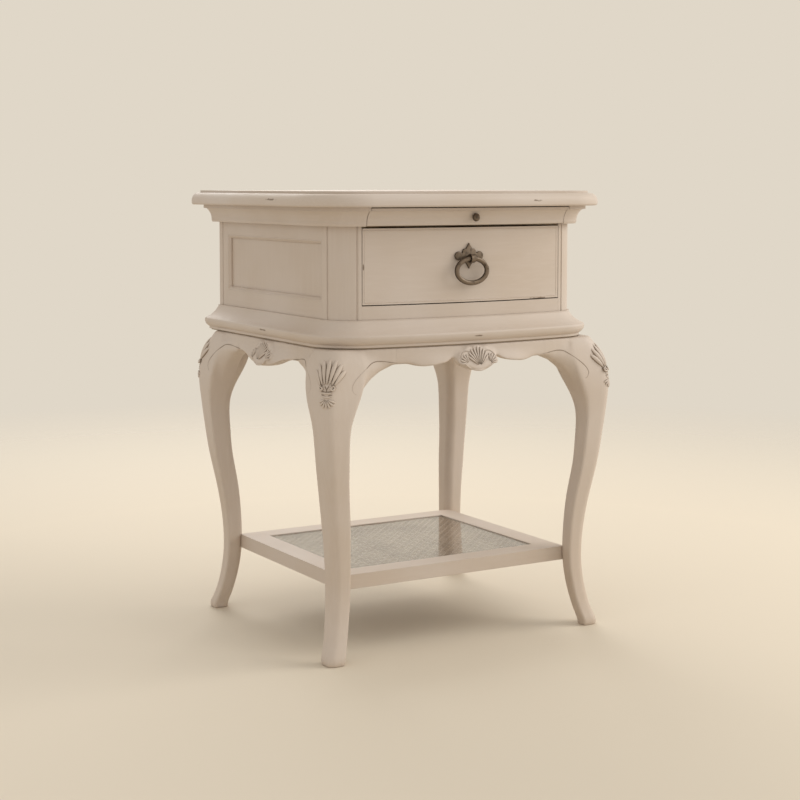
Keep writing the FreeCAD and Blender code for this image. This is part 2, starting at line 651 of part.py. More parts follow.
def make_aprons(legs, pairs):
    """Shaped aprons at the front and the sides and a plain one at the back, each fitted between its legs."""
    leg_side = S.head_half - S.head_lean * HALF_ROOT - S.apron_lap
    end_x = LEG_X - leg_side
    end_y = LEG_Y - leg_side
    outer = HALF_CASE + S.apron_reach
    front = new_body("front_apron_blank")
    sketch = sketch_on(front, "XZ_Plane", "front_apron_profile", -MID_Y)
    front_edge = [(S.apron_arch_half, S.apron_height, S.apron_lobe_radius),
                  (S.apron_lobe_half, S.apron_lobe_drop, S.apron_lobe_radius),
                  (S.apron_cusp_half, S.apron_cusp_drop, None)]
    draw(sketch, *apron_outline(end_x, front_edge, S.apron_tongue_drop))
    deep = S.front_reach + S.top_overhang
    pad(front, "front_apron_pad", sketch, deep)
    tall = S.stand_height
    bow = cylinder("front_apron_bow", S.bow_radius + S.apron_reach, tall, (ZERO, BOW_Y, ZERO))
    hollow = cylinder("front_apron_hollow", S.bow_radius + S.apron_reach - S.apron_thick, tall,
                      (ZERO, BOW_Y, ZERO))
    sweep = boolean("Cut", "front_apron_sweep", bow, hollow)
    shaped = boolean("Common", "front_apron_shaped", front, sweep)
    front_apron = keep(boolean("Cut", "front_apron_fitted", shaped, pairs["front"]), "apron_front")
    side = new_body("side_apron")
    sketch = sketch_on(side, "YZ_Plane", "side_apron_profile", -outer)
    side_edge = [(S.side_arch_half, S.apron_height, -S.side_arch_radius),
                 (S.side_cusp_half, S.side_cusp_drop, None)]
    nodes, arcs = apron_outline(end_y, side_edge, S.side_tongue_drop)
    draw(sketch, [(MID_Y + place, level) for place, level in nodes], arcs)
    pad(side, "side_apron_pad", sketch, S.apron_thick)
    left_legs = joined("leg_pair_left", list(legs.values()))
    left = keep(boolean("Cut", "side_apron_fitted", side, left_legs), "apron_left")
    keep(across("side_apron_copy", left), "apron_right")
    board = box("back_apron_board", (-end_x, end_x), (BACK_Y - S.apron_thick, BACK_Y),
                (S.stand_height - S.apron_height, S.stand_height))
    keep(boolean("Cut", "back_apron_fitted", board, pairs["back"]), "apron_back")
    return front_apron, left


def station_face(drop):
    """How far a leg's outer face stands from its middle, at a drop below the top of the stand."""
    names = [station[0] for station in reversed(UPPER_STATIONS)]
    for above, below in zip(names, names[1:]):
        high, low = getattr(S, above + "_level"), getattr(S, below + "_level")
        if high.value <= drop.value <= low.value:
            faces = [getattr(S, name + "_lean") * HALF_ROOT + getattr(S, name + "_half") for name in (above, below)]
            return faces[0] + (faces[1] - faces[0]) * ((drop - high) / (low - high))
    raise ValueError("no station at that drop")


def ear_blank(name, along_x, flush):
    """An ear beside the front left leg, before the leg and the apron are cut out of it.

    It runs along X or Y from the leg, proud beside the knee and flush with the apron at its far end.
    """
    body = new_body(name)
    sections = []
    inner = flush - S.ear_thick
    for level in EAR_LEVELS:
        drop, reach, bend = (getattr(S, level[0] + item) for item in ("_drop", "_reach", "_bend"))
        proud = station_face(drop)
        nodes = [(S.ear_start, inner), (reach, inner), (reach, flush), (bend, proud), (S.ear_start, proud)]
        sketch = sketch_on(body, "XY_Plane", name + "_" + level[0], S.stand_height - drop)
        if along_x:
            draw(sketch, [(-LEG_X + along, LEG_FRONT_Y - out) for along, out in nodes])
        else:
            draw(sketch, [(-LEG_X - out, LEG_FRONT_Y + along) for along, out in nodes])
        sections.append(sketch)
    DOC.recompute()
    loft(body, name + "_loft", sections, ruled=True)
    return body


def make_ears(legs, front_apron, left_apron):
    """Ears beside the knees, at the front and along both sides."""
    front = ear_blank("front_ear_blank", True, S.leg_inset_front + S.apron_reach)
    side = ear_blank("side_ear_blank", False, S.leg_inset_side + S.apron_reach)
    turned = turned_back("back_ear_blank", side)
    for label, blank, leg, apron in (("ear_front", front, legs["front"], front_apron),
                                     ("ear_side_front", side, legs["front"], left_apron),
                                     ("ear_side_back", turned, legs["back"], left_apron)):
        beside_leg = boolean("Cut", label + "_beside_leg", blank, leg)
        left = keep(boolean("Cut", label + "_fitted", beside_leg, apron), label + "_left")
        keep(across(label + "_copy", left), label + "_right")


def bulge(start, end, fullness):
    """The radius of an arc between two nodes, as a share of the distance between them."""
    wide, tall = end[0] - start[0], end[1] - start[1]
    return (wide * wide + tall * tall).root() * fullness


def fan_outline(half_width, height):
    """A scallop: a point at the foot and lobes round a half oval above it."""
    nodes = [(ZERO, -height / 2)]
    arcs = {}
    for i in range(FAN_LOBES + 1):
        turn = math.radians(FAN_START + (180 - 2 * FAN_START) * i / FAN_LOBES)
        rise = height * ((0.5 + FAN_SINK) * math.sin(turn) - FAN_SINK)
        nodes.append((half_width * math.cos(turn), rise))
        if i:
            arcs[i] = bulge(nodes[i], nodes[i + 1], S.shell_lobe_fullness)
    return nodes, arcs


def make_apron_shells(front_apron, left_apron):
    """Carved scallops in the middle of the front and side aprons."""
    top = S.stand_height - S.shell_drop
    middle = top - S.shell_height / 2
    deep = S.shell_relief + S.apron_thick / 2
    front = new_body("front_shell_blank")
    face = FRONT_Y - S.apron_reach - S.shell_relief
    sketch = sketch_on(front, "XZ_Plane", "front_shell_outline", -face)
    nodes, arcs = fan_outline(S.shell_half_width, S.shell_height)
    draw(sketch, [(place, middle + level) for place, level in nodes], arcs)
    pad(front, "front_shell_pad", sketch, deep, reverse=True)
    keep(boolean("Cut", "front_shell_fitted", front, front_apron), "shell_front")
    side = new_body("side_shell_blank")
    sketch = sketch_on(side, "YZ_Plane", "side_shell_outline", -(HALF_CASE + S.apron_reach + S.shell_relief))
    draw(sketch, [(MID_Y + place, middle + level) for place, level in nodes], arcs)
    pad(side, "side_shell_pad", sketch, deep)
    left = keep(boolean("Cut", "side_shell_fitted", side, left_apron), "shell_left")
    keep(across("side_shell_copy", left), "shell_right")


def make_knee_shells(legs):
    """Carved scallops that lie on the rounded knees, all of one height above the wood."""
    blank = new_body("knee_shell_blank")
    sketch = sketch_on(blank, "XY_Plane", "knee_shell_outline")
    draw(sketch, *fan_outline(S.knee_shell_half_width, S.knee_shell_height))
    depth = pad(blank, "knee_shell_pad", sketch, S.knee_half * 2)
    depth.Midplane = True
    tilt = math.degrees(math.atan2((S.brow_lean - S.crown_lean).value, (S.brow_level - S.crown_level).value))
    facing = FreeCAD.Rotation(VECTOR(0, 0, 1), -45) * FreeCAD.Rotation(VECTOR(1, 0, 0), 90 - tilt)
    blank.Placement = FreeCAD.Placement(VECTOR(0, 0, 0), facing)
    reach = station_face(S.knee_shell_drop) * HALF_ROOT
    for letter, place in (("x", -LEG_X - reach), ("y", LEG_FRONT_Y - reach),
                          ("z", S.stand_height - S.knee_shell_drop)):
        blank.setExpression("Placement.Base." + letter, place.text)
    DOC.recompute()
    skin = leg_body("leg_skin", S.knee_shell_relief)
    layer = boolean("Common", "knee_shell_layer", blank, skin)
    front = keep(boolean("Cut", "knee_shell_fitted", layer, legs["front"]), "knee_shell_front_left")
    keep(across("knee_shell_front_copy", front), "knee_shell_front_right")
    back = turned_back("knee_shell_turned", front)
    keep(joined("knee_shell_back_pair", [back, across("knee_shell_back_copy", back)]), "knee_shells_back")


def make_shelf(pairs):
    """The low shelf: four rails notched round the legs, a cane panel between them and a glass sheet on it."""
    low, high = S.shelf_height - S.shelf_thick, S.shelf_height
    edge_x = LEG_X - S.shelf_inset
    edge_y = LEG_Y - S.shelf_inset
    inner_x = edge_x - S.shelf_rail
    inner_y = edge_y - S.shelf_rail
    for end, near, far in (("front", MID_Y - edge_y, MID_Y - inner_y), ("back", MID_Y + inner_y, MID_Y + edge_y)):
        rail = box("shelf_%s_board" % end, (-edge_x, edge_x), (near, far), (low, high))
        keep(boolean("Cut", "shelf_%s_notched" % end, rail, pairs[end]), "shelf_rail_" + end)
    side_y = (MID_Y - inner_y, MID_Y + inner_y)
    left = keep(box("shelf_side_board", (-edge_x, -inner_x), side_y, (low, high)), "shelf_rail_left")
    keep(across("shelf_side_copy", left), "shelf_rail_right")
    glass_top = high - S.glass_drop
    cane_top = glass_top - S.glass_thick
    keep(box("cane_sheet", (-inner_x, inner_x), side_y, (cane_top - S.cane_thick, cane_top)), "cane_panel")
    glass_x = inner_x - S.glass_gap
    glass_y = inner_y - S.glass_gap
    keep(box("glass_sheet", (-glass_x, glass_x), (MID_Y - glass_y, MID_Y + glass_y), (cane_top, glass_top)),
         "shelf_glass")


def make_drawer():
    """The drawer's bowed front and its box."""
    half = OPENING_X - S.drawer_end_gap
    high = DIVIDER_Z - S.drawer_gap
    front_back = FACE_Y + S.drawer_front_thick
    stock = box("drawer_front_stock", (-half, half), (FRONT_Y - S.cornice_reach, front_back), (RUNNER_Z, high))
    bow = cylinder("drawer_front_bow", S.bow_radius, S.case_height, (ZERO, BOW_Y, CASE_Z))
    keep(boolean("Common", "drawer_front_shaped", stock, bow), "drawer_front")
    outer = OPENING_X - S.drawer_side_gap
    inner = outer - S.drawer_side_thick
    side_top = high - S.drawer_side_drop
    end = BACK_PANEL_Y - S.drawer_back_gap
    left = keep(box("drawer_side_board", (-outer, -inner), (front_back, end), (RUNNER_Z, side_top)),
                "drawer_side_left")
    keep(across("drawer_side_copy", left), "drawer_side_right")
    back_front = end - S.drawer_side_thick
    bottom_z = RUNNER_Z + S.drawer_bottom_lift
    floor_z = bottom_z + S.drawer_bottom_thick
    keep(box("drawer_back_board", (-inner, inner), (back_front, end), (floor_z, side_top - S.drawer_back_drop)),
         "drawer_back")
    keep(box("drawer_bottom_board", (-inner, inner), (front_back, end), (bottom_z, floor_z)), "drawer_bottom")
    return (RUNNER_Z + high) / 2


def make_pull(drawer_middle):
    """The ring pull: a cut backplate, an eye and an oval ring that hangs in the eye."""
    middle = drawer_middle + S.pull_rise
    body = new_body("plate")
    sketch = sketch_on(body, "XZ_Plane", "plate_outline", -FRONT_Y)
    waist, shoulder = S.plate_waist, S.plate_shoulder
    nodes = [(ZERO, S.plate_tip), (-waist, shoulder), (-S.plate_half_width, ZERO), (-waist, -shoulder),
             (ZERO, -S.plate_tip), (waist, -shoulder), (S.plate_half_width, ZERO), (waist, shoulder)]
    tip = bulge(nodes[0], nodes[1], S.plate_tip_fullness)
    lobe = bulge(nodes[1], nodes[2], S.plate_lobe_fullness)
    draw(sketch, [(place, middle + level) for place, level in nodes],
         {0: tip, 1: lobe, 2: lobe, 3: tip, 4: tip, 5: lobe, 6: lobe, 7: tip})
    pad(body, "plate_pad", sketch, S.plate_thick)
    keep(body, "pull_backplate")
    plate_face = FRONT_Y - S.plate_thick
    ring_y = plate_face - S.ring_standoff
    ring_z = middle + S.eye_rise
    half = S.eye_length / 2
    knuckle = cylinder("eye_knuckle", S.eye_radius, S.eye_length, (-half, ring_y, ring_z), VECTOR(1, 0, 0))
    neck = box("eye_neck_block", (-half, half), (ring_y, plate_face),
               (ring_z - S.eye_neck / 2, ring_z + S.eye_neck / 2))
    whole = boolean("Fuse", "eye_whole", knuckle, neck)
    bore = cylinder("eye_bore", S.ring_wire_radius + S.eye_clearance, S.eye_length * 3,
                    (-half * 3, ring_y, ring_z), VECTOR(1, 0, 0))
    keep(boolean("Cut", "eye_bored", whole, bore), "pull_eye")
    ring = new_body("ring")
    centre_z = ring_z - S.ring_half_height
    path = sketch_on(ring, "XZ_Plane", "ring_path", -ring_y)
    oval(path, S.ring_half_width, S.ring_half_height, centre_z)
    wire = sketch_on(ring, "YZ_Plane", "ring_wire")
    draw_circle(wire, ring_y, ring_z, S.ring_wire_radius)
    DOC.recompute()
    pipe(ring, "ring_run", wire, path)
    keep(ring, "pull_ring")


def oval(sketch, half_width, half_height, centre_z):
    """An ellipse lying along X, centred over the origin at a height."""
    centre = VECTOR(0, centre_z.value, 0)
    shape = Part.Ellipse(centre + VECTOR(half_width.value, 0, 0), centre + VECTOR(0, half_height.value, 0), centre)
    index = sketch.addGeometry(shape, False)
    sketch.exposeInternalGeometry(index)
    major, minor = index + 1, index + 2
    bind(sketch, Sketcher.Constraint("DistanceX", index, 3, 0.0), ZERO)
    bind(sketch, Sketcher.Constraint("DistanceY", index, 3, centre_z.value), centre_z)
    sketch.addConstraint(Sketcher.Constraint("Horizontal", major))
    bind(sketch, Sketcher.Constraint("Distance", major, half_width.value * 2), half_width * 2)
    bind(sketch, Sketcher.Constraint("Distance", minor, half_height.value * 2), half_height * 2)


def main():
    make_top()
    knob_z = make_cornice()
    make_slide(knob_z)
    make_posts()
    make_case_sides()
    make_case_inside()
    make_base()
    legs, pairs = make_legs()
    front_apron, left_apron = make_aprons(legs, pairs)
    make_ears(legs, front_apron, left_apron)
    make_apron_shells(front_apron, left_apron)
    make_knee_shells(legs)
    make_shelf(pairs)
    drawer_middle = make_drawer()
    make_pull(drawer_middle)
    DOC.recompute()
    write_parts()


def write_parts():
    """Check every object and write each piece to its own file."""
    for thing in DOC.Objects:
        if "Invalid" in thing.State or "Error" in thing.State:
            raise RuntimeError("%s failed: %s" % (thing.Label, thing.State))
    for node in NODES:
        if node.Shape.isNull() or not node.Shape.isValid():
            raise RuntimeError("%s has no valid shape" % node.Label)
    os.makedirs("parts", exist_ok=True)
    for node in NODES:
        node.Shape.exportStep("parts/%s.step" % node.Label)
        print("%s: %d solid(s), %.0f mm3" % (node.Label, len(node.Shape.Solids), node.Shape.Volume))
    whole = Part.makeCompound([node.Shape for node in NODES])
    print("pieces", len(NODES), "box", whole.BoundBox)


main()
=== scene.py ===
# %% [markdown]
# # A painted bedside table with a bowed front
#
# The construction is already done: every board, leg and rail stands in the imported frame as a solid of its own.
# This lesson dresses that frame. It finishes the boards with an antique paint, carves the stand, weaves the
# cane of the low shelf, cuts the plate of the drawer pull, and lights it all for one picture.

# %% Load the frame
import math

import bmesh
import bpy
import numpy as np
from mathutils import Matrix, Vector
from mathutils.bvhtree import BVHTree


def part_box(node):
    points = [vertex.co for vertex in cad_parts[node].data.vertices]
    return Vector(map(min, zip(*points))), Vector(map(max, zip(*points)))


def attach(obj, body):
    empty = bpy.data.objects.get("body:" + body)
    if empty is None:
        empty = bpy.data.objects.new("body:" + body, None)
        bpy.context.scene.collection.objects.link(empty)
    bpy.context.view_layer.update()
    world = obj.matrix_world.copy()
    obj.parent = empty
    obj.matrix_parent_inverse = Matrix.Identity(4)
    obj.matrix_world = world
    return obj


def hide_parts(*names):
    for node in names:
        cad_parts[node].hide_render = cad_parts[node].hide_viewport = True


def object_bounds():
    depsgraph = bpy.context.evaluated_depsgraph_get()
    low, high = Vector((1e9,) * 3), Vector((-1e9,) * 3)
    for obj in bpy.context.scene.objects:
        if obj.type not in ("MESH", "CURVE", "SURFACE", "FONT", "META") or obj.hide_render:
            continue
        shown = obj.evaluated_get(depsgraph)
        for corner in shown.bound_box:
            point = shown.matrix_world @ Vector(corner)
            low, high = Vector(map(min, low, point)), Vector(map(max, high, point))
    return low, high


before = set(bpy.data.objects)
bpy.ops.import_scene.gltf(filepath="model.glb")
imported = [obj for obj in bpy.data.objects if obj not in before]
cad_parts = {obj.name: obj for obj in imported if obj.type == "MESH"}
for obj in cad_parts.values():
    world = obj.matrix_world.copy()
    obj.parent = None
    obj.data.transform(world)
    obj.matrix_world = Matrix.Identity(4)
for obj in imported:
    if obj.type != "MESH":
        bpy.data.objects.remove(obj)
cad_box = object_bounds()
print("solids in the frame:", len(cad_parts))

# %% [markdown]
# ## Camera
#
# The picture is square. A long lens stands to the left of the table, a little above the top, and looks down by
# a few degrees. A small vertical shift keeps the legs upright, as a view camera does, so that the boards' edges
# stay parallel in the picture.

# %% Camera
CAMERA_PLACE = (-1.29567, -2.17734, 0.66989)
CAMERA_DIP = math.radians(3.872)
CAMERA_TURN = math.radians(-30.648)
LENS, SENSOR = 74.45, 36.0
LENS_SHIFT = -0.13

camera_data = bpy.data.cameras.new("camera")
camera_data.lens = LENS
camera_data.sensor_width = SENSOR
camera_data.shift_y = LENS_SHIFT
camera = bpy.data.objects.new("camera", camera_data)
camera.location = CAMERA_PLACE
camera.rotation_euler = (math.pi / 2 - CAMERA_DIP, 0.0, CAMERA_TURN)
bpy.context.scene.collection.objects.link(camera)
bpy.context.scene.camera = camera
print("lens", LENS, "mm")

# %% [markdown]
# ## Node helpers
#
# Materials and Geometry Nodes are both trees of nodes. Wiring them by hand takes many lines, so one helper adds
# a node, fills its sockets and links them. A few more name the small jobs that come back in every finish:
# a sum, a remapped value, a mixed colour, a noise and the darkness of a corner.

# %% Node helpers
def add(tree, kind, inputs=None, **settings):
    made = tree.nodes.new(kind)
    for name, value in settings.items():
        setattr(made, name, value)
    for key, value in (inputs or {}).items():
        if isinstance(value, bpy.types.NodeSocket):
            tree.links.new(value, made.inputs[key])
        else:
            made.inputs[key].default_value = value
    return made


def calc(tree, operation, first, second=0.0):
    return add(tree, "ShaderNodeMath", {0: first, 1: second}, operation=operation).outputs[0]


def times(tree, first, second):
    return calc(tree, "MULTIPLY", first, second)


def minus(tree, first, second):
    return calc(tree, "SUBTRACT", first, second)


def remap(tree, value, low, high, start=0.0, end=1.0):
    sockets = {"Value": value, "From Min": low, "From Max": high, "To Min": start, "To Max": end}
    return add(tree, "ShaderNodeMapRange", sockets).outputs[0]


def mixed(tree, share, first, second):
    return add(tree, "ShaderNodeMix", {0: share, 6: first, 7: second}, data_type="RGBA").outputs[2]


def noise(tree, places, scale, detail=2.0, stretch=None):
    if stretch:
        places = add(tree, "ShaderNodeMapping", {"Vector": places, "Scale": stretch}).outputs[0]
    return add(tree, "ShaderNodeTexNoise", {"Vector": places, "Scale": scale, "Detail": detail}).outputs[0]


def open_sky(tree, reach):
    return add(tree, "ShaderNodeAmbientOcclusion", {"Distance": reach}, samples=8).outputs["AO"]


def colour(red, green, blue):
    steps = [c / 255 for c in (red, green, blue)]
    return [c / 12.92 if c <= 0.04045 else ((c + 0.055) / 1.055) ** 2.4 for c in steps] + [1.0]


# %% [markdown]
# ## Antique paint
#
# The table is painted a warm cream, rubbed with a brown glaze that stays in corners and cut lines, and worn
# through at a few edges. Three things make it: a slow cloud of two close creams with faint brush streaks along
# each board, a brown that follows the ambient occlusion of the corners and of the places where parts meet, which
# is glaze and painted shade in one, and small rub marks at known places.
# A bevel in the shading softens the boards' edges, as sanding does.

# %% Streaks and rub marks
STREAKS = {"across": (9.0, 260.0, 260.0), "deep": (260.0, 9.0, 260.0), "upright": (260.0, 260.0, 9.0)}


def start_finish(name):
    material = bpy.data.materials.new(name)
    material.use_nodes = True
    tree = material.node_tree
    places = add(tree, "ShaderNodeTexCoord").outputs["Object"]
    return material, tree, tree.nodes["Principled BSDF"], places


def rub_mark(tree, places, grit, centre, half):
    away = add(tree, "ShaderNodeVectorMath", {0: places, 1: centre}, operation="SUBTRACT").outputs[0]
    share = add(tree, "ShaderNodeVectorMath", {0: away, 1: half}, operation="DIVIDE").outputs[0]
    reach = add(tree, "ShaderNodeVectorMath", {0: share}, operation="LENGTH").outputs["Value"]
    ragged = calc(tree, "ADD", reach, remap(tree, grit, 0.3, 0.7, -0.6, 0.6))
    return remap(tree, ragged, 0.5, 1.2, 0.9, 0.0)


print("streaks run", ", ".join(STREAKS))

# %% Antique paint
CREAM = colour(203, 188, 173)
CREAM_WARM = colour(197, 180, 162)
CREAM_PALE = colour(212, 199, 186)
GLAZE_AND_SHADE = colour(118, 98, 78)
WORN = colour(118, 99, 80)
CORNER_REACH = 0.004
EDGE_ROUNDING = 0.0009
CLOUD_SCALE, GRIT_SCALE = 6.0, 190.0
BRUSH_STRENGTH, BRUSH_DEPTH = 0.06, 0.0006
PAINT_DULL, PAINT_DULLEST, PAINT_SHINE = 0.50, 0.66, 0.35


def paint(name, streak, marks=(), carved=False, glaze_and_shade=0.55):
    material, tree, shader, places = start_finish(name)
    cloud = noise(tree, places, CLOUD_SCALE, 3.0)
    brush = noise(tree, places, 1.0, 4.0, STREAKS[streak])
    grit = noise(tree, places, GRIT_SCALE, 3.0)
    skin = mixed(tree, remap(tree, cloud, 0.38, 0.66), CREAM, CREAM_WARM)
    skin = mixed(tree, remap(tree, brush, 0.45, 0.75, 0.0, 0.22), skin, CREAM_PALE)
    # Glaze and painted shade: the less open a spot is to the sky, the more brown it gets.
    corner = remap(tree, open_sky(tree, CORNER_REACH), 0.25, 0.72, glaze_and_shade, 0.0)
    corner = times(tree, corner, remap(tree, grit, 0.3, 0.65, 0.45, 1.0))
    if carved:
        # Low carving takes the brown too: glaze and painted shade in the grooves and cut lines.
        relief = add(tree, "ShaderNodeAttribute", attribute_name="relief").outputs["Fac"]
        corner = calc(tree, "MAXIMUM", corner, remap(tree, relief, 0.40, 0.72, 0.85, 0.0))
    skin = mixed(tree, corner, skin, GLAZE_AND_SHADE)
    for centre, half in marks:
        skin = mixed(tree, rub_mark(tree, places, grit, centre, half), skin, WORN)
    tree.links.new(skin, shader.inputs["Base Color"])
    tree.links.new(remap(tree, brush, 0.3, 0.8, PAINT_DULL, PAINT_DULLEST), shader.inputs["Roughness"])
    shader.inputs["Specular IOR Level"].default_value = PAINT_SHINE
    soft = add(tree, "ShaderNodeBevel", {"Radius": EDGE_ROUNDING}, samples=4).outputs[0]
    bump = add(tree, "ShaderNodeBump", {
        "Height": brush, "Strength": BRUSH_STRENGTH, "Distance": BRUSH_DEPTH, "Normal": soft})
    tree.links.new(bump.outputs[0], shader.inputs["Normal"])
    return material


# %% Mix the paints
# Each mark is a place and its half sizes, in metres
TOP_MARKS = [
    ((-0.2525, -0.054, 0.648), (0.006, 0.014, 0.0013)),
    ((0.091, -0.227, 0.6465), (0.009, 0.006, 0.0012)),
]
BASE_MARKS = [
    ((-0.234, 0.012, 0.4560), (0.006, 0.013, 0.0012)),
    ((0.003, -0.209, 0.4540), (0.008, 0.008, 0.0011)),
]
DRAWER_MARKS = [
    ((-0.1660, -0.171, 0.5530), (0.0012, 0.008, 0.006)),
    ((0.128, -0.178, 0.5015), (0.013, 0.008, 0.0011)),
]

paint_across = paint("paint_across", "across", glaze_and_shade=0.4)
paint_deep = paint("paint_deep", "deep", glaze_and_shade=0.3)
paint_upright = paint("paint_upright", "upright", glaze_and_shade=0.3)
paint_side = paint("paint_side", "upright", glaze_and_shade=0.05)
paint_top = paint("paint_top", "across", TOP_MARKS, glaze_and_shade=0.2)
paint_base = paint("paint_base", "across", BASE_MARKS, glaze_and_shade=0.3)
paint_drawer = paint("paint_drawer", "across", DRAWER_MARKS)
paint_carved = paint("paint_carved", "upright", carved=True, glaze_and_shade=0.6)
print("paints made:", sum(m.name.startswith("paint") for m in bpy.data.materials))

# %% [markdown]
# ## Bare wood, a board stained dark as painted shade, old metal and glass
#
# The drawer's box and the boards inside the case are bare wood, with a grain that runs along each board. The
# thin board under the base is stained a brown darker than the cream, as painted shade, and lies so far back that it
# reads as a shadow line. The pull is old brass gone brown: a dull metal, dark with patina in its corners and in
# patches, and darker on its sides as painted shade, so the faces towards the front stay brighter. A clear
# sheet of glass lies on the shelf. Its shader bends and mirrors light as glass does, with faint smears in its
# polish, but rays from the lamps go straight through, because a renderer would otherwise leave the weave below it
# in the dark.

# %% Bare wood and stained board
WOOD = colour(199, 174, 139)
WOOD_LATE = colour(174, 145, 108)
# The board's browns are darker than the cream: painted shade for the shadow line under the base.
STAIN_AND_SHADE = colour(178, 158, 134)
STAIN_AND_SHADE_DEEP = colour(160, 140, 116)
GROWTH_SCALE, PORE_SCALE = 0.28, 2.2
PORE_STRENGTH, PORE_DEPTH = 0.2, 0.0004


def grained(name, streak, early, late, roughness):
    material, tree, shader, places = start_finish(name)
    growth = noise(tree, places, GROWTH_SCALE, 5.0, STREAKS[streak])
    pores = noise(tree, places, PORE_SCALE, 2.0, STREAKS[streak])
    grain = mixed(tree, remap(tree, growth, 0.40, 0.64), early, late)
    grain = mixed(tree, remap(tree, pores, 0.60, 0.80, 0.0, 0.5), grain, late)
    tree.links.new(grain, shader.inputs["Base Color"])
    shader.inputs["Roughness"].default_value = roughness
    bump = add(tree, "ShaderNodeBump", {"Height": pores, "Strength": PORE_STRENGTH, "Distance": PORE_DEPTH})
    tree.links.new(bump.outputs[0], shader.inputs["Normal"])
    return material


wood_across = grained("wood_across", "across", WOOD, WOOD_LATE, 0.6)
wood_deep = grained("wood_deep", "deep", WOOD, WOOD_LATE, 0.6)
stained_and_shaded = grained("stained_and_shaded", "across", STAIN_AND_SHADE, STAIN_AND_SHADE_DEEP, 0.65)
print("woods made:", wood_across.name, wood_deep.name, stained_and_shaded.name)

# %% Old metal
METAL = colour(122, 106, 89)
METAL_DARK = colour(58, 46, 35)
METAL_SHARE = 0.55
METAL_RUBBED, METAL_DULL = 0.36, 0.58
PATCH_SCALE = 160.0
PATCH_STRENGTH, PATCH_DEPTH = 0.25, 0.0005


def old_metal(name):
    material, tree, shader, places = start_finish(name)
    patches = noise(tree, places, PATCH_SCALE, 4.0)
    facing = add(tree, "ShaderNodeTexCoord").outputs["Normal"]
    to_front = add(tree, "ShaderNodeSeparateXYZ", {0: facing}).outputs["Y"]
    in_corner = remap(tree, open_sky(tree, CORNER_REACH), 0.35, 0.85, 1.0, 0.0)
    dark = calc(tree, "MAXIMUM", in_corner, remap(tree, patches, 0.50, 0.72, 0.0, 0.7))
    # Painted shade: faces that turn away from the front, the sides of plate, ring and knob, go dark.
    dark = calc(tree, "MAXIMUM", dark, remap(tree, to_front, -0.78, -0.25, 0.0, 0.9))
    tree.links.new(mixed(tree, dark, METAL, METAL_DARK), shader.inputs["Base Color"])
    shader.inputs["Metallic"].default_value = METAL_SHARE
    tree.links.new(remap(tree, patches, 0.3, 0.7, METAL_RUBBED, METAL_DULL), shader.inputs["Roughness"])
    bump = add(tree, "ShaderNodeBump", {"Height": patches, "Strength": PATCH_STRENGTH, "Distance": PATCH_DEPTH})
    tree.links.new(bump.outputs[0], shader.inputs["Normal"])
    return material


metal = old_metal("metal")
print("metal made:", metal.name)

# %% Glass
GLASS_TINT = colour(254, 252, 248)
GLASS_IOR = 1.5
SMEAR_SCALE = 14.0
POLISHED, SMEARED = 0.04, 0.12


def clear_glass(name):
    material, tree, shader, places = start_finish(name)
    shader.inputs["Base Color"].default_value = GLASS_TINT
    shader.inputs["Transmission Weight"].default_value = 1.0
    shader.inputs["IOR"].default_value = GLASS_IOR
    smears = noise(tree, places, SMEAR_SCALE, 3.0)
    tree.links.new(remap(tree, smears, 0.35, 0.70, POLISHED, SMEARED), shader.inputs["Roughness"])
    from_lamp = add(tree, "ShaderNodeLightPath").outputs["Is Shadow Ray"]
    open_way = add(tree, "ShaderNodeBsdfTransparent").outputs[0]
    both = add(tree, "ShaderNodeMixShader", {0: from_lamp, 1: shader.outputs[0], 2: open_way}).outputs[0]
    tree.links.new(both, tree.nodes["Material Output"].inputs["Surface"])
    return material


glass = clear_glass("glass")
print("finishes in all:", len(bpy.data.materials))

# %% [markdown]
# ## Finish the boards
#
# A board whose solid already has the right shape keeps it, and only gets its finish. The brush streaks follow
# the way that each board lies: across the front, back into the depth, or upright.

# %% Finish the boards
FINISHES = {
    paint_top: ["top_panel"],
    paint_base: ["base_moulding"],
    paint_drawer: ["drawer_front"],
    paint_across: [
        "slide_front", "slide_board", "front_rail", "base_back_rail", "shelf_rail_front", "shelf_rail_back",
    ],
    paint_deep: [
        "cornice_left", "cornice_right", "side_rail_top_left", "side_rail_top_right", "side_rail_bottom_left",
        "side_rail_bottom_right", "shelf_rail_left", "shelf_rail_right",
    ],
    paint_upright: ["post_front_left", "post_front_right", "post_back_left", "post_back_right"],
    paint_side: ["side_panel_left", "side_panel_right", "side_moulding_left", "side_moulding_right"],
    wood_across: ["back_panel", "bottom_board", "divider_rail", "drawer_back", "drawer_bottom"],
    wood_deep: ["drawer_side_left", "drawer_side_right", "case_runners"],
    stained_and_shaded: ["spacer_board"],
    metal: ["pull_eye", "pull_ring", "slide_knob"],
    glass: ["shelf_glass"],
}


def dress(node, material):
    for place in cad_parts[node].material_slots:
        place.material = material


for finish, nodes in FINISHES.items():
    for node in nodes:
        dress(node, finish)
print("boards finished:", sum(len(nodes) for nodes in FINISHES.values()))

# %% [markdown]
# ## Stand
#
# On the real table the legs, their knee blocks and the aprons are joined and then carved as one, so no seam
# shows. Here copies of those solids are grown together by a voxel remesh, which gives one skin of even small
# faces, and the skin is relaxed: each point moves towards the middle of its neighbours. The knees are relaxed
# more than the feet, but an arris keeps its line: there the normals of neighbours disagree, so their average is
# short, and short averages hold their points. A hollow crease, such as the one between a leg and its ear, is let
# go, so that one flows into the other, and what still lies sunken is filled. The bosses of the shells are let go
# too, and swell softly. The skin is then cut into legs and aprons again, each one closed, so every piece can still
# be used on its own.

# %% Join copies of solids
SAME_POINT = 1e-6


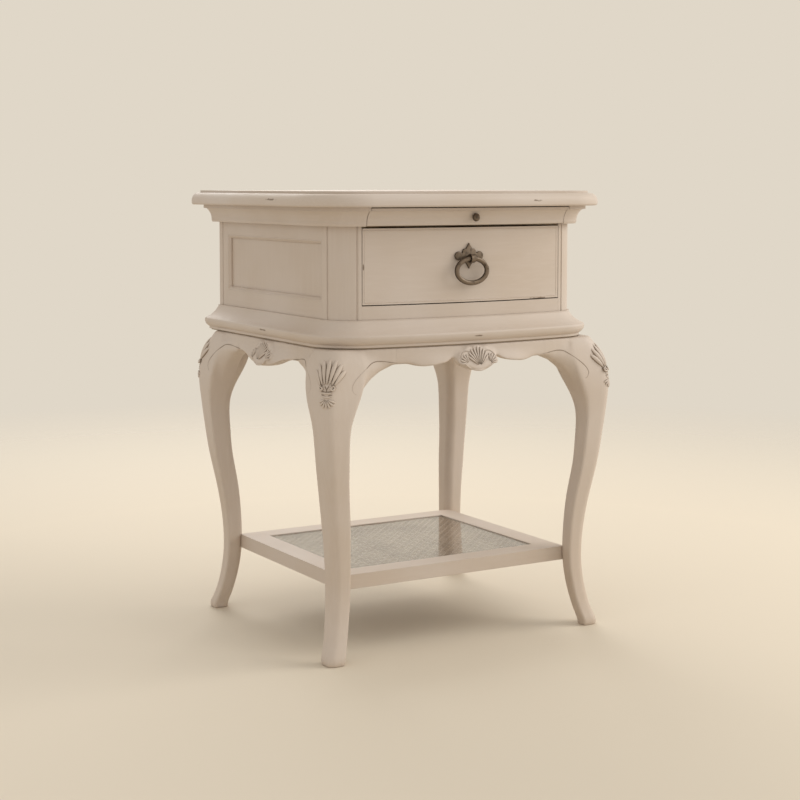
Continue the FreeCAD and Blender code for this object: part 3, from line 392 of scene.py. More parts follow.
def merged_copy(names, swell):
    joined = bmesh.new()
    for name in names:
        single = bmesh.new()
        single.from_mesh(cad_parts[name].data)
        bmesh.ops.remove_doubles(single, verts=single.verts, dist=SAME_POINT)
        single.normal_update()
        for vertex in single.verts:
            vertex.co += vertex.normal * swell
        part = bpy.data.meshes.new("part")
        single.to_mesh(part)
        single.free()
        joined.from_mesh(part)
        bpy.data.meshes.remove(part)
    mesh = bpy.data.meshes.new("joined")
    joined.to_mesh(mesh)
    joined.free()
    return mesh


def baked(source, name):
    graph = bpy.context.evaluated_depsgraph_get()
    mesh = bpy.data.meshes.new_from_object(source.evaluated_get(graph))
    mesh.name = name
    spent = source.data
    bpy.data.objects.remove(source)
    if spent.users == 0:
        bpy.data.meshes.remove(spent)
    return mesh


def loose_object(name, mesh):
    made = bpy.data.objects.new(name, mesh)
    bpy.context.scene.collection.objects.link(made)
    return made


print("points closer than", SAME_POINT, "m count as one")

# %% Grow the stand together
SIDES = ("left", "right")
LEG_NAMES = [f"leg_{end}_{side}" for end in ("front", "back") for side in SIDES]
EAR_NAMES = [f"ear_{run}_{side}" for run in ("front", "side_front", "side_back") for side in SIDES]
APRON_NAMES = ["apron_front", "apron_left", "apron_right", "apron_back"]
BOSS_NAMES = ["shell_front", "shell_left", "shell_right"]
VOXEL = 0.0013
OVERLAP = 0.0003
blank = loose_object("stand_blank", merged_copy(LEG_NAMES + EAR_NAMES + APRON_NAMES + BOSS_NAMES, OVERLAP))
grow = blank.modifiers.new("grow", "REMESH")
grow.mode = "VOXEL"
grow.voxel_size = VOXEL
stand = baked(blank, "stand")
print("points on the stand:", len(stand.vertices))

# %% Relax the stand evenly
EVEN_ROUNDS = 2
PULL = 0.5


def relaxed(points, pairs, rounds, strength):
    neighbours = np.bincount(pairs.ravel(), minlength=len(points))[:, None]
    for _ in range(rounds):
        total = np.empty_like(points)
        for axis in range(3):
            value = points[:, axis]
            total[:, axis] = np.bincount(pairs[:, 0], value[pairs[:, 1]], len(points))
            total[:, axis] += np.bincount(pairs[:, 1], value[pairs[:, 0]], len(points))
        points = points + strength[:, None] * (total / neighbours - points)
    return points


points = np.empty(len(stand.vertices) * 3)
stand.vertices.foreach_get("co", points)
points = points.reshape(-1, 3)
pairs = np.empty(len(stand.edges) * 2, dtype=np.int32)
stand.edges.foreach_get("vertices", pairs)
pairs = pairs.reshape(-1, 2)
even = np.full(len(points), PULL)
points = relaxed(points, pairs, EVEN_ROUNDS, even)
stand.vertices.foreach_set("co", points.ravel())
stand.update()
facing = np.empty(len(points) * 3)
stand.vertex_normals.foreach_get("vector", facing)
facing = facing.reshape(-1, 3)
print("points relaxed:", len(points))

# %% Relax the knees
FEEL_ROUNDS = 4
KNEE_ROUNDS = 32
ARRIS, PLAIN = 0.86, 0.975
HOLLOW, DIP = 0.00006, 0.00002
FILL_PASSES, FILL_ROUNDS = 4, 16
KNEE_LOW, KNEE_FULL = 0.315, 0.350
BOSS_HALF = 0.042
BOSS_SOFTNESS = 0.6


def middle_of(node):
    low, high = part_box(node)
    return (low + high) / 2


def depth_of_dips(points):
    return ((relaxed(points, pairs, FEEL_ROUNDS, even) - points) * facing).sum(axis=1)


FRONT_LEFT, BACK_LEFT = middle_of("leg_front_left"), middle_of("leg_back_left")
SIDE_MIDDLE = (FRONT_LEFT.y + BACK_LEFT.y) / 2
agreement = np.linalg.norm(relaxed(facing, pairs, FEEL_ROUNDS, even), axis=1)
hollow = depth_of_dips(points) > HOLLOW
knee = np.clip((points[:, 2] - KNEE_LOW) / (KNEE_FULL - KNEE_LOW), 0.0, 1.0) * PULL
free = np.maximum(np.clip((agreement - ARRIS) / (PLAIN - ARRIS), 0.0, 1.0), hollow)
on_front = (np.abs(points[:, 0]) < BOSS_HALF) & (points[:, 1] < FRONT_LEFT.y)
on_side = (np.abs(points[:, 1] - SIDE_MIDDLE) < BOSS_HALF) & (np.abs(points[:, 0]) > abs(FRONT_LEFT.x))
knee *= np.maximum(free, np.where(on_front | on_side, BOSS_SOFTNESS, 0.0))
points = relaxed(points, pairs, KNEE_ROUNDS, knee)
for _ in range(FILL_PASSES):
    sunken = (depth_of_dips(points) > DIP) & (points[:, 2] > KNEE_FULL)
    points = relaxed(points, pairs, FILL_ROUNDS, np.where(sunken, PULL, 0.0))
print("points held at arrises:", int((agreement < ARRIS).sum()))

# %% [markdown]
# The aprons flare: between the knees each one leans outwards to its lower edge, and most of all at the tongue
# under the shell. A carver cuts this from thicker stock. Here the points of the skin are pushed outwards by a
# share that grows towards the lower edge and eases to nothing at the knees.

# %% Flare the aprons
FLARE_FRONT, FLARE_SIDE = 0.009, 0.012
FLARE_TOP, FLARE_FULL = 0.436, 0.404
FLARE_FLAT, FLARE_END = 0.060, 0.118
SIDE_DEPTH = 0.190
STAND_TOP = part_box("apron_front")[1].z


def eased(value, start, end):
    share = np.clip((value - start) / (end - start), 0.0, 1.0)
    return share * share * (3.0 - 2.0 * share)


fall = eased(points[:, 2], FLARE_TOP, FLARE_FULL)
at_front = eased(np.abs(points[:, 0]), FLARE_END, FLARE_FLAT) * (points[:, 1] < FRONT_LEFT.y)
at_side = eased(np.abs(points[:, 1] - SIDE_MIDDLE), FLARE_END, FLARE_FLAT) * (np.abs(points[:, 0]) > SIDE_DEPTH)
points[:, 1] -= FLARE_FRONT * fall * at_front
points[:, 0] += FLARE_SIDE * fall * at_side * np.sign(points[:, 0])
points = np.clip(points, cad_box[0], (cad_box[1][0], cad_box[1][1], STAND_TOP))
stand.vertices.foreach_set("co", points.ravel())
stand.update()
print("stand from", points.min(0).round(4), "to", points.max(0).round(4))

# %% Cut and place a piece
SHARP_FROM = math.radians(55)
CUT_CLOSENESS = 1e-7


def placed(name, mesh, material, slot, *nodes, body="carcass"):
    mesh.materials.clear()
    mesh.materials.append(material)
    piece = loose_object(name, mesh)
    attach(piece, body)
    if nodes:
        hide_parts(*nodes)
    return piece


def cut_out(name, planes):
    form = bmesh.new()
    form.from_mesh(stand)
    for place, outward in planes:
        everything = form.verts[:] + form.edges[:] + form.faces[:]
        cut = bmesh.ops.bisect_plane(
            form, geom=everything, plane_co=place, plane_no=outward, dist=CUT_CLOSENESS, clear_outer=True)
        rim = [item for item in cut["geom_cut"] if isinstance(item, bmesh.types.BMEdge)]
        bmesh.ops.edgeloop_fill(form, edges=rim)
    bmesh.ops.recalc_face_normals(form, faces=form.faces)
    mesh = bpy.data.meshes.new(name)
    form.to_mesh(mesh)
    form.free()
    mesh.shade_smooth()
    mesh.set_sharp_from_angle(angle=SHARP_FROM)
    return mesh


print("edges stay sharp from", round(math.degrees(SHARP_FROM)), "degrees")

# %% Cut the stand into legs and aprons
KNEE_REACH = 0.0845
CUT_X = abs(FRONT_LEFT.x) - KNEE_REACH
CUT_FRONT, CUT_BACK = FRONT_LEFT.y + KNEE_REACH, BACK_LEFT.y - KNEE_REACH
for end, cut_y, inward in (("front", CUT_FRONT, 1), ("back", CUT_BACK, -1)):
    for side, sign in (("left", -1), ("right", 1)):
        planes = [((sign * CUT_X, 0, 0), (-sign, 0, 0)), ((0, cut_y, 0), (0, inward, 0))]
        ears = [f"ear_side_{end}_{side}"] + ([f"ear_front_{side}"] if end == "front" else [])
        leg = cut_out(f"carved_leg_{end}_{side}", planes)
        placed(leg.name, leg, paint_upright, "painted_wood", f"leg_{end}_{side}", *ears)
between_x = [((-CUT_X, 0, 0), (-1, 0, 0)), ((CUT_X, 0, 0), (1, 0, 0))]
between_y = [((0, CUT_FRONT, 0), (0, -1, 0)), ((0, CUT_BACK, 0), (0, 1, 0))]
runs = {
    "front": (between_x + [((0, CUT_FRONT, 0), (0, 1, 0))], paint_across),
    "back": (between_x + [((0, CUT_BACK, 0), (0, -1, 0))], paint_across),
    "left": (between_y + [((-CUT_X, 0, 0), (1, 0, 0))], paint_deep),
    "right": (between_y + [((CUT_X, 0, 0), (-1, 0, 0))], paint_deep),
}
for run, (planes, finish) in runs.items():
    apron = cut_out(f"carved_apron_{run}", planes)
    placed(apron.name, apron, finish, "painted_wood", f"apron_{run}")
print("stand cut at x", round(CUT_X, 4), "and y", round(CUT_FRONT, 4), round(CUT_BACK, 4))

# %% [markdown]
# ## Carved shells
#
# A carver cuts each shell as a fan of ridges that spread from one root. One ridge is a long rounded drop, and
# the fan repeats it, so a Geometry Nodes tree makes the fan flat: it sets the ridges round one point, turns each a
# little further and shortens the outer ones. Each ridge keeps its height as an attribute, so the brown of glaze and
# painted shade can stay in the grooves. The flat fan is then laid on the skin of the stand by casting rays at it.

# %% Helpers for trees
def new_tree(name, sizes):
    tree = bpy.data.node_groups.new(name, "GeometryNodeTree")
    tree.interface.new_socket("Geometry", in_out="INPUT", socket_type="NodeSocketGeometry")
    for label, kind in sizes.items():
        tree.interface.new_socket(label, in_out="INPUT", socket_type=f"NodeSocket{kind}")
    tree.interface.new_socket("Geometry", in_out="OUTPUT", socket_type="NodeSocketGeometry")
    return tree, add(tree, "NodeGroupInput").outputs


def end_tree(tree, shape, material):
    real = add(tree, "GeometryNodeRealizeInstances", {"Geometry": shape}).outputs[0]
    smooth = add(tree, "GeometryNodeSetShadeSmooth", {"Geometry": real}).outputs[0]
    done = add(tree, "GeometryNodeSetMaterial", {"Geometry": smooth, "Material": material}).outputs[0]
    add(tree, "NodeGroupOutput", {0: done})


def vector(tree, x=0.0, y=0.0, z=0.0):
    return add(tree, "ShaderNodeCombineXYZ", {0: x, 1: y, 2: z}).outputs[0]


def own_place(tree):
    return add(tree, "ShaderNodeSeparateXYZ", {0: add(tree, "GeometryNodeInputPosition").outputs[0]}).outputs


def set_place(tree, shape, **where):
    return add(tree, "GeometryNodeSetPosition", {"Geometry": shape, **where}).outputs[0]


def one_spot(tree, number):
    return add(tree, "GeometryNodeMeshLine", {"Count": number, "Offset": (0.0, 0.0, 0.0)}).outputs[0]


def keep(tree, shape, name, value):
    sockets = {"Geometry": shape, "Name": name, "Value": value}
    return add(tree, "GeometryNodeStoreNamedAttribute", sockets, data_type="FLOAT", domain="POINT").outputs[0]


def grown(tree, name, sizes, source=None):
    carrier = loose_object("carrier", source or bpy.data.meshes.new("carrier"))
    modifier = carrier.modifiers.new("tree", "NODES")
    modifier.node_group = tree
    sockets = {item.name: item.identifier for item in tree.interface.items_tree if item.in_out == "INPUT"}
    for label, value in sizes.items():
        modifier[sockets[label]] = value
    return baked(carrier, name)


# %% A tree for a fan of ridges
FAN_SIZES = {"Ridges": "Int", "Spread": "Float", "Length": "Float", "Shortening": "Float", "Width": "Float",
             "Root": "Float", "Height": "Float", "Start": "Float"}
RIDGE_SEGMENTS, RIDGE_RINGS = 12, 10
TIP_START, TIP_END = 0.70, 0.95


def one_ridge(tree, given):
    drop = add(tree, "GeometryNodeMeshUVSphere", {
        "Segments": RIDGE_SEGMENTS, "Rings": RIDGE_RINGS, "Radius": 1.0}).outputs["Mesh"]
    spot = own_place(tree)
    wide = calc(tree, "SQRT", minus(tree, 1.02, times(tree, spot[1], spot[1])))
    crest = calc(tree, "MAXIMUM", calc(tree, "DIVIDE", spot[2], wide), remap(tree, spot[1], TIP_START, TIP_END))
    drop = keep(tree, drop, "relief", crest)
    along = remap(tree, spot[1], -1.0, 1.0)
    widening = remap(tree, along, 0.0, 1.0, given["Root"], 1.0)
    half = times(tree, times(tree, given["Width"], 0.5), widening)
    across, up = times(tree, spot[0], half), times(tree, spot[2], given["Height"])
    return set_place(tree, drop, Position=vector(tree, across, times(tree, along, given["Length"]), up))


def fan_tree():
    tree, given = new_tree("fan of ridges", FAN_SIZES)
    last = calc(tree, "MAXIMUM", minus(tree, given["Ridges"], 1.0), 1.0)
    turn = minus(tree, 0.5, calc(tree, "DIVIDE", add(tree, "GeometryNodeInputIndex").outputs[0], last))
    angle = times(tree, turn, given["Spread"])
    outer = times(tree, times(tree, turn, turn), 4.0)
    length = minus(tree, 1.0, times(tree, outer, given["Shortening"]))
    root_x = times(tree, calc(tree, "SINE", angle), times(tree, given["Start"], -1.0))
    root_y = times(tree, calc(tree, "COSINE", angle), given["Start"])
    roots = set_place(tree, one_spot(tree, given["Ridges"]), Position=vector(tree, root_x, root_y))
    ridges = add(tree, "GeometryNodeInstanceOnPoints", {
        "Points": roots, "Instance": one_ridge(tree, given), "Rotation": vector(tree, z=angle),
        "Scale": vector(tree, 1.0, length, 1.0)}).outputs[0]
    end_tree(tree, ridges, paint_carved)
    return tree


FAN = fan_tree()
print("nodes in the fan tree:", len(FAN.nodes))

# %% A tree for a bead along a path
BEAD_SIDES = 8


def bead_tree(name, material):
    tree, given = new_tree(name, {"Radius": "Float", "Points": "Int", "Taper": "Float", "Relief": "Float"})
    path = add(tree, "GeometryNodeMeshToCurve", {"Mesh": given["Geometry"]}).outputs[0]
    path = add(tree, "GeometryNodeCurveSplineType", {"Curve": path}, spline_type="CATMULL_ROM").outputs[0]
    path = add(tree, "GeometryNodeResampleCurve", {"Curve": path, "Count": given["Points"]}).outputs[0]
    along = add(tree, "GeometryNodeSplineParameter").outputs["Factor"]
    swell = calc(tree, "SINE", times(tree, along, math.pi))
    fall = minus(tree, 1.0, times(tree, minus(tree, 1.0, swell), given["Taper"]))
    radius = times(tree, given["Radius"], fall)
    path = add(tree, "GeometryNodeSetCurveRadius", {"Curve": path, "Radius": radius}).outputs[0]
    ring = add(tree, "GeometryNodeCurvePrimitiveCircle", {"Resolution": BEAD_SIDES, "Radius": 1.0}).outputs[0]
    tube = add(tree, "GeometryNodeCurveToMesh", {
        "Curve": path, "Profile Curve": ring, "Scale": add(tree, "GeometryNodeInputRadius").outputs[0],
        "Fill Caps": True}).outputs[0]
    end_tree(tree, keep(tree, tube, "relief", given["Relief"]), material)
    return tree


def path_mesh(places):
    mesh = bpy.data.meshes.new("path")
    mesh.from_pydata([tuple(p) for p in places], [(i, i + 1) for i in range(len(places) - 1)], [])
    return mesh


BEAD = bead_tree("bead along a path", paint_carved)
print("nodes in the bead tree:", len(BEAD.nodes))

# %% Lay carving on the stand
CAST = 0.06
UP = Vector((0, 0, 1))
BEAD_POINTS = 48


def skin_of(mesh):
    return BVHTree.FromPolygons([v.co for v in mesh.vertices], [tuple(p.vertices) for p in mesh.polygons])


def laid(ground, x, y, height=0.0):
    skin, place, across, out = ground
    spot = place + across * x + UP * y
    hit, normal, _, _ = skin.ray_cast(spot + out * CAST, -out)
    if hit is None:
        hit, normal, _, _ = skin.find_nearest(spot)
    return hit + (normal + out).normalized() * height


def lay_fan(sizes, turn, move, ground):
    fan = grown(FAN, "fan", sizes)
    spin = Matrix.Rotation(turn, 2)
    for vertex in fan.vertices:
        flat = spin @ Vector(vertex.co[:2]) + Vector(move)
        vertex.co = laid(ground, flat.x, flat.y, vertex.co.z)
    return fan


def lay_bead(places, ground, radius, height=0.0, taper=0.4, relief=1.0):
    path = path_mesh([laid(ground, x, y, height) for x, y in places])
    return grown(BEAD, "bead", {"Radius": radius, "Points": BEAD_POINTS, "Taper": taper, "Relief": relief}, path)


def one_mesh(name, meshes):
    joined = bmesh.new()
    for mesh in meshes:
        joined.from_mesh(mesh)
        bpy.data.meshes.remove(mesh)
    bmesh.ops.recalc_face_normals(joined, faces=joined.faces)
    whole = bpy.data.meshes.new(name)
    joined.to_mesh(whole)
    joined.free()
    whole.shade_smooth()
    return whole


stand_skin = skin_of(stand)
print("faces to carve on:", len(stand.polygons))

# %% Carve the aprons
FAN_ROOT_Z = 0.4105
SHEAF = {"Ridges": 9, "Spread": 1.72, "Start": 0.0030, "Length": 0.0262, "Shortening": 0.22, "Width": 0.0054,
         "Root": 0.16, "Height": 0.0027}
WING = {"Ridges": 5, "Spread": 1.45, "Start": 0.0020, "Length": 0.0125, "Shortening": 0.08, "Width": 0.0046,
        "Root": 0.3, "Height": 0.0022}
WING_TURN = 0.82
WING_ROOT = (0.0182, 0.0046)
WING_RIM = [(0.0128, 0.0205), (0.0172, 0.0220), (0.0226, 0.0208), (0.0272, 0.0170), (0.0290, 0.0118),
            (0.0276, 0.0064), (0.0232, 0.0026)]
BOWL_RIM = [(0.0310, 0.0130), (0.0225, 0.0030), (0.0115, -0.0034), (0.0, -0.0052)]
WING_BEAD, WING_TONE = 0.0010, 0.62
BOWL_BEAD = 0.0015


def apron_shell(name, ground, rims):
    parts = [lay_fan(SHEAF, 0.0, (0.0, 0.0), ground)]
    for hand in (-1, 1):
        parts.append(lay_fan(WING, -hand * WING_TURN, (hand * WING_ROOT[0], WING_ROOT[1]), ground))
        if rims:
            parts.append(lay_bead([(hand * x, y) for x, y in WING_RIM], ground, WING_BEAD, relief=WING_TONE))
    bowl = [(-x, y) for x, y in BOWL_RIM] + [(x, y) for x, y in reversed(BOWL_RIM[:-1])]
    parts.append(lay_bead(bowl, ground, BOWL_BEAD))
    return one_mesh(name, parts)


def ground_on(node, edge, across, out):
    middle = middle_of(node)
    place = Vector((middle.x, middle.y, FAN_ROOT_Z))
    place += Vector(out) * abs((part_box(node)[edge] - middle).dot(Vector(out)))
    return stand_skin, place, Vector(across), Vector(out)


apron_grounds = {
    "front": ground_on("shell_front", 0, (1, 0, 0), (0, -1, 0)),
    "left": ground_on("shell_left", 0, (0, -1, 0), (-1, 0, 0)),
    "right": ground_on("shell_right", 1, (0, 1, 0), (1, 0, 0)),
}
for run, ground in apron_grounds.items():
    shell = apron_shell(f"carved_shell_{run}", ground, run == "front")
    placed(shell.name, shell, paint_carved, "painted_wood", f"shell_{run}")
print("faces on one apron shell:", len(shell.polygons))

# %% Sizes of the knee carving
KNEE_ROOT_Z = 0.3940
PALMETTE = {"Ridges": 7, "Spread": 1.02, "Start": 0.0180, "Length": 0.0350, "Shortening": 0.30, "Width": 0.0096,
            "Root": 0.32, "Height": 0.0036}
PALMETTE_MOVE = (0.0, -0.0160)
DROP = {"Ridges": 7, "Spread": 2.20, "Start": 0.0024, "Length": 0.0122, "Shortening": 0.10, "Width": 0.0050,
        "Root": 0.30, "Height": 0.0022}
DROP_MOVE = (0.0, -0.0160)
CURL_PLACE = (0.0074, -0.0026)
CURL_RADIUS, CURL_TURNS, CURL_BEAD, CURL_RISE = 0.0032, 1.15, 0.0014, 0.0026
SHADE_RADIUS, SHADE_TURNS, SHADE_BEAD, SHADE_RISE = 0.0048, 0.75, 0.0008, 0.0014
COLLAR_BARS = [((0.0078, -0.0082), (0.0, -0.0092)), ((0.0066, -0.0135), (0.0, -0.0145))]
COLLAR_BEAD = 0.0017
# Thin dark lines beside the collar bars and curls: glaze and painted shade in the cuts.
GLAZE_AND_SHADE_LINES = [
    [(-0.0078, -0.0062), (0.0, -0.0070), (0.0078, -0.0062)], [(-0.0028, 0.0010), (0.0, -0.0046)],
    [(0.0028, 0.0010), (0.0, -0.0046)], [(0.0, -0.0040), (0.0, -0.0064)],
    [(-0.0076, -0.0110), (-0.0030, -0.0117)], [(0.0030, -0.0117), (0.0076, -0.0110)],
]
GLAZE_AND_SHADE_BEAD, GLAZE_AND_SHADE_RISE = 0.0006, 0.0004
GLAZED_AND_SHADED = {"taper": 0.3, "relief": 0.2}
SCROLL_STEPS = 18
SCROLL_SHRINK = 0.75
print("ridges on a knee:", PALMETTE["Ridges"], "above and", DROP["Ridges"], "below")

# %% Carve the knees
def scroll(centre, radius, turns, hand, start=0.0):
    shares = [i / SCROLL_STEPS for i in range(SCROLL_STEPS + 1)]
    angles = [start + hand * turns * 2 * math.pi * share for share in shares]
    sizes = [radius * (1.0 - SCROLL_SHRINK * share) for share in shares]
    return [(centre[0] + r * math.cos(a), centre[1] + r * math.sin(a)) for a, r in zip(angles, sizes)]


def bowed(end, middle):
    return [(-end[0], end[1]), middle, end]


def knee_carving(name, grounds):
    parts = []
    for ground in grounds:
        parts.append(lay_fan(PALMETTE, 0.0, PALMETTE_MOVE, ground))
        parts.append(lay_fan(DROP, math.pi, DROP_MOVE, ground))
        for bar in COLLAR_BARS:
            parts.append(lay_bead(bowed(*bar), ground, COLLAR_BEAD, taper=0.5))
        for line in GLAZE_AND_SHADE_LINES:
            parts.append(lay_bead(line, ground, GLAZE_AND_SHADE_BEAD, GLAZE_AND_SHADE_RISE, **GLAZED_AND_SHADED))
        for hand in (-1, 1):
            middle = (hand * CURL_PLACE[0], CURL_PLACE[1])
            curl = scroll(middle, CURL_RADIUS, CURL_TURNS, -hand, math.pi / 2)
            parts.append(lay_bead(curl, ground, CURL_BEAD, CURL_RISE))
            around = scroll(middle, SHADE_RADIUS, SHADE_TURNS, -hand, math.pi / 2)
            parts.append(lay_bead(around, ground, SHADE_BEAD, SHADE_RISE, **GLAZED_AND_SHADED))
    whole = one_mesh(name, parts)
    low, high = (Vector(corner) for corner in cad_box)
    for vertex in whole.vertices:
        vertex.co = [min(max(value, least), most) for value, least, most in zip(vertex.co, low, high)]
    return whole


def knee_ground(leg):
    middle = middle_of(leg)
    out = Vector((math.copysign(1, middle.x), math.copysign(1, middle.y), 0)).normalized()
    return stand_skin, Vector((middle.x, middle.y, KNEE_ROOT_Z)), UP.cross(out), out


for side in SIDES:
    knee_piece = knee_carving(f"carved_knee_front_{side}", [knee_ground(f"leg_front_{side}")])
    placed(knee_piece.name, knee_piece, paint_carved, "painted_wood", f"knee_shell_front_{side}")
back_knees = knee_carving("carved_knees_back", [knee_ground(f"leg_back_{side}") for side in SIDES])
placed(back_knees.name, back_knees, paint_carved, "painted_wood", "knee_shells_back")
print("faces on one knee:", len(knee_piece.polygons))

# %% [markdown]
# ## Scrolls on the ears and a bead on the drawer
#
# Beside each knee the carver runs one thin line along the ear and curls it round at its foot. The drawer's front
# has a thin bead just inside its edge. Both are the same bead tree again, laid on the wood along a path.

# %% Lines on the ears
EAR_LINE = [(0.1150, 0.4190), (0.1350, 0.4215), (0.1500, 0.4235), (0.1630, 0.4225), (0.1760, 0.4150),
            (0.1900, 0.4050), (0.1985, 0.3970), (0.2020, 0.3895), (0.1990, 0.3825), (0.1930, 0.3800)]
EAR_TURN = 4
LINE_RADIUS, LINE_SINK = 0.0009, -0.0005
LINE_AHEAD = 0.03
# The ear lines take the carved brown, glaze and painted shade in a cut line, darker on some runs than on others.
DARK, FAINT = 0.45, 0.64


def ear_lines(name, runs):
    parts = []
    for middle, across, out, tone in runs:
        ground = (stand_skin, Vector(middle), Vector(across), Vector(out))
        parts.append(lay_bead(EAR_LINE[:EAR_TURN + 2], ground, LINE_RADIUS, LINE_SINK, relief=DARK))
        parts.append(lay_bead(EAR_LINE[EAR_TURN - 1:], ground, LINE_RADIUS, LINE_SINK, relief=tone))
    return one_mesh(name, parts)


front_y = FRONT_LEFT.y - LINE_AHEAD
front_runs = [((0, front_y, 0), (hand, 0, 0), (0, -1, 0), tone) for hand, tone in ((-1, FAINT), (1, DARK))]
lines = ear_lines("carved_lines_front", front_runs)
placed(lines.name, lines, paint_carved, "painted_wood")
leg_half = (BACK_LEFT.y - FRONT_LEFT.y) / 2
shift = leg_half - abs(FRONT_LEFT.x)
for side, hand in (("left", -1), ("right", 1)):
    out_x = hand * (abs(FRONT_LEFT.x) + LINE_AHEAD)
    side_runs = [((out_x, SIDE_MIDDLE + way * shift, 0), (0, way, 0), (hand, 0, 0), tone)
                 for way, tone in ((-1, FAINT), (1, DARK))]
    lines = ear_lines(f"carved_lines_{side}", side_runs)
    placed(lines.name, lines, paint_carved, "painted_wood")
print("faces in the lines of one side:", len(lines.polygons))

# %% Bead on the drawer
BEAD_INSET = 0.0034
BEAD_RADIUS, BEAD_SINK = 0.0010, -0.0005
LONG_POINTS, SHORT_POINTS = 25, 9
drawer_low, drawer_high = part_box("drawer_front")
drawer_ground = (skin_of(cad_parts["drawer_front"].data), Vector((0, drawer_low.y, 0)), Vector((1, 0, 0)),
                 Vector((0, -1, 0)))
reach = drawer_high.x - BEAD_INSET
low_z, high_z = drawer_low.z + BEAD_INSET, drawer_high.z - BEAD_INSET
across_front = np.linspace(-reach, reach, LONG_POINTS)
strips = [[(x, low_z) for x in across_front], [(x, high_z) for x in across_front]]
strips += [[(x, z) for z in np.linspace(low_z, high_z, SHORT_POINTS)] for x in (-reach, reach)]
bead = one_mesh("drawer_bead", [lay_bead(strip, drawer_ground, BEAD_RADIUS, BEAD_SINK, 0.0) for strip in strips])
placed(bead.name, bead, paint_carved, "painted_wood", body="drawer")
print("faces in the drawer's bead:", len(bead.polygons))

# %% [markdown]
# ## Cane panel
#
# Under its glass the low shelf is filled with woven cane: pairs of strands run across and back, and single
# strands run over them both ways at a slant, so that eight-sided holes are left. Every strand is the same flat
# strip, so one Geometry Nodes tree makes a set of strands: it repeats a strip on a line of points, turns the set,
# waves it up and down and trims it to the opening. The tree is called for each set of the weave. The lower strands
# are darkened as painted shade, since they lie under the slanted ones, so the tree also keeps a share of shade for
# each set, and the finish reads it.

# %% Finish of the cane
CANE = colour(176, 155, 134)
CANE_LATE = colour(161, 140, 118)
CANE_SHADED = colour(120, 102, 83)
cane_finish = grained("cane_strand", "deep", CANE, CANE_LATE, 0.45)
cane_nodes = cane_finish.node_tree
# Painted shade: strands with a share of shade, the lower ones, are mixed towards a darker brown.
shade = add(cane_nodes, "ShaderNodeAttribute", attribute_name="shade").outputs["Fac"]
bare_cane = cane_nodes.nodes["Principled BSDF"].inputs["Base Color"]
cane_nodes.links.new(mixed(cane_nodes, shade, bare_cane.links[0].from_socket, CANE_SHADED), bare_cane)
print("cane finish:", cane_finish.name)

# %% A tree for a set of cane strands
STRIP_POINTS = 90
STRAND_SIZES = {"Strands": "Int", "Pitch": "Float", "Length": "Float", "Turn": "Float", "Width": "Float",
                "Thick": "Float", "Wave": "Float", "Lift": "Float", "Shade": "Float", "Half X": "Float",
                "Half Y": "Float"}


def one_strip(tree, given):
    step = calc(tree, "DIVIDE", add(tree, "GeometryNodeInputIndex").outputs[0], STRIP_POINTS - 1.0)
    along = times(tree, minus(tree, step, 0.5), given["Length"])
    line = set_place(tree, one_spot(tree, STRIP_POINTS), Position=vector(tree, y=along))
    path = add(tree, "GeometryNodeMeshToCurve", {"Mesh": line}).outputs[0]
    section = add(tree, "GeometryNodeCurvePrimitiveQuadrilateral", {
        "Width": given["Width"], "Height": given["Thick"]}).outputs[0]
    sockets = {"Curve": path, "Profile Curve": section, "Fill Caps": True}
    return add(tree, "GeometryNodeCurveToMesh", sockets).outputs[0]


def row_of_strips(tree, given):
    number = add(tree, "GeometryNodeInputIndex").outputs[0]
    middle = times(tree, minus(tree, given["Strands"], 1.0), 0.5)
    spot = times(tree, minus(tree, number, middle), given["Pitch"])
    row = set_place(tree, one_spot(tree, given["Strands"]), Position=vector(tree, spot))
    row = keep(tree, row, "phase", times(tree, number, math.pi))
    strips = add(tree, "GeometryNodeInstanceOnPoints", {"Points": row, "Instance": one_strip(tree, given)}).outputs[0]
    return add(tree, "GeometryNodeRealizeInstances", {"Geometry": strips}).outputs[0]


def strand_tree():
    tree, given = new_tree("cane strands", STRAND_SIZES)
    phase = add(tree, "GeometryNodeInputNamedAttribute", {"Name": "phase"}, data_type="FLOAT").outputs[0]
    beat = times(tree, calc(tree, "DIVIDE", own_place(tree)[1], given["Pitch"]), math.pi)
    wave = times(tree, calc(tree, "COSINE", calc(tree, "ADD", beat, phase)), given["Wave"])
    rise = calc(tree, "ADD", wave, given["Lift"])
    weave = set_place(tree, row_of_strips(tree, given), Offset=vector(tree, z=rise))
    weave = add(tree, "GeometryNodeTransform", {
        "Geometry": weave, "Rotation": vector(tree, z=given["Turn"])}).outputs[0]
    there = own_place(tree)
    past_x = calc(tree, "GREATER_THAN", calc(tree, "ABSOLUTE", there[0]), given["Half X"])
    past_y = calc(tree, "GREATER_THAN", calc(tree, "ABSOLUTE", there[1]), given["Half Y"])
    weave = add(tree, "GeometryNodeDeleteGeometry", {
        "Geometry": weave, "Selection": calc(tree, "MAXIMUM", past_x, past_y)}, domain="POINT").outputs[0]
    end_tree(tree, keep(tree, weave, "shade", given["Shade"]), cane_finish)
    return tree


STRANDS = strand_tree()
print("nodes in the strand tree:", len(STRANDS.nodes))

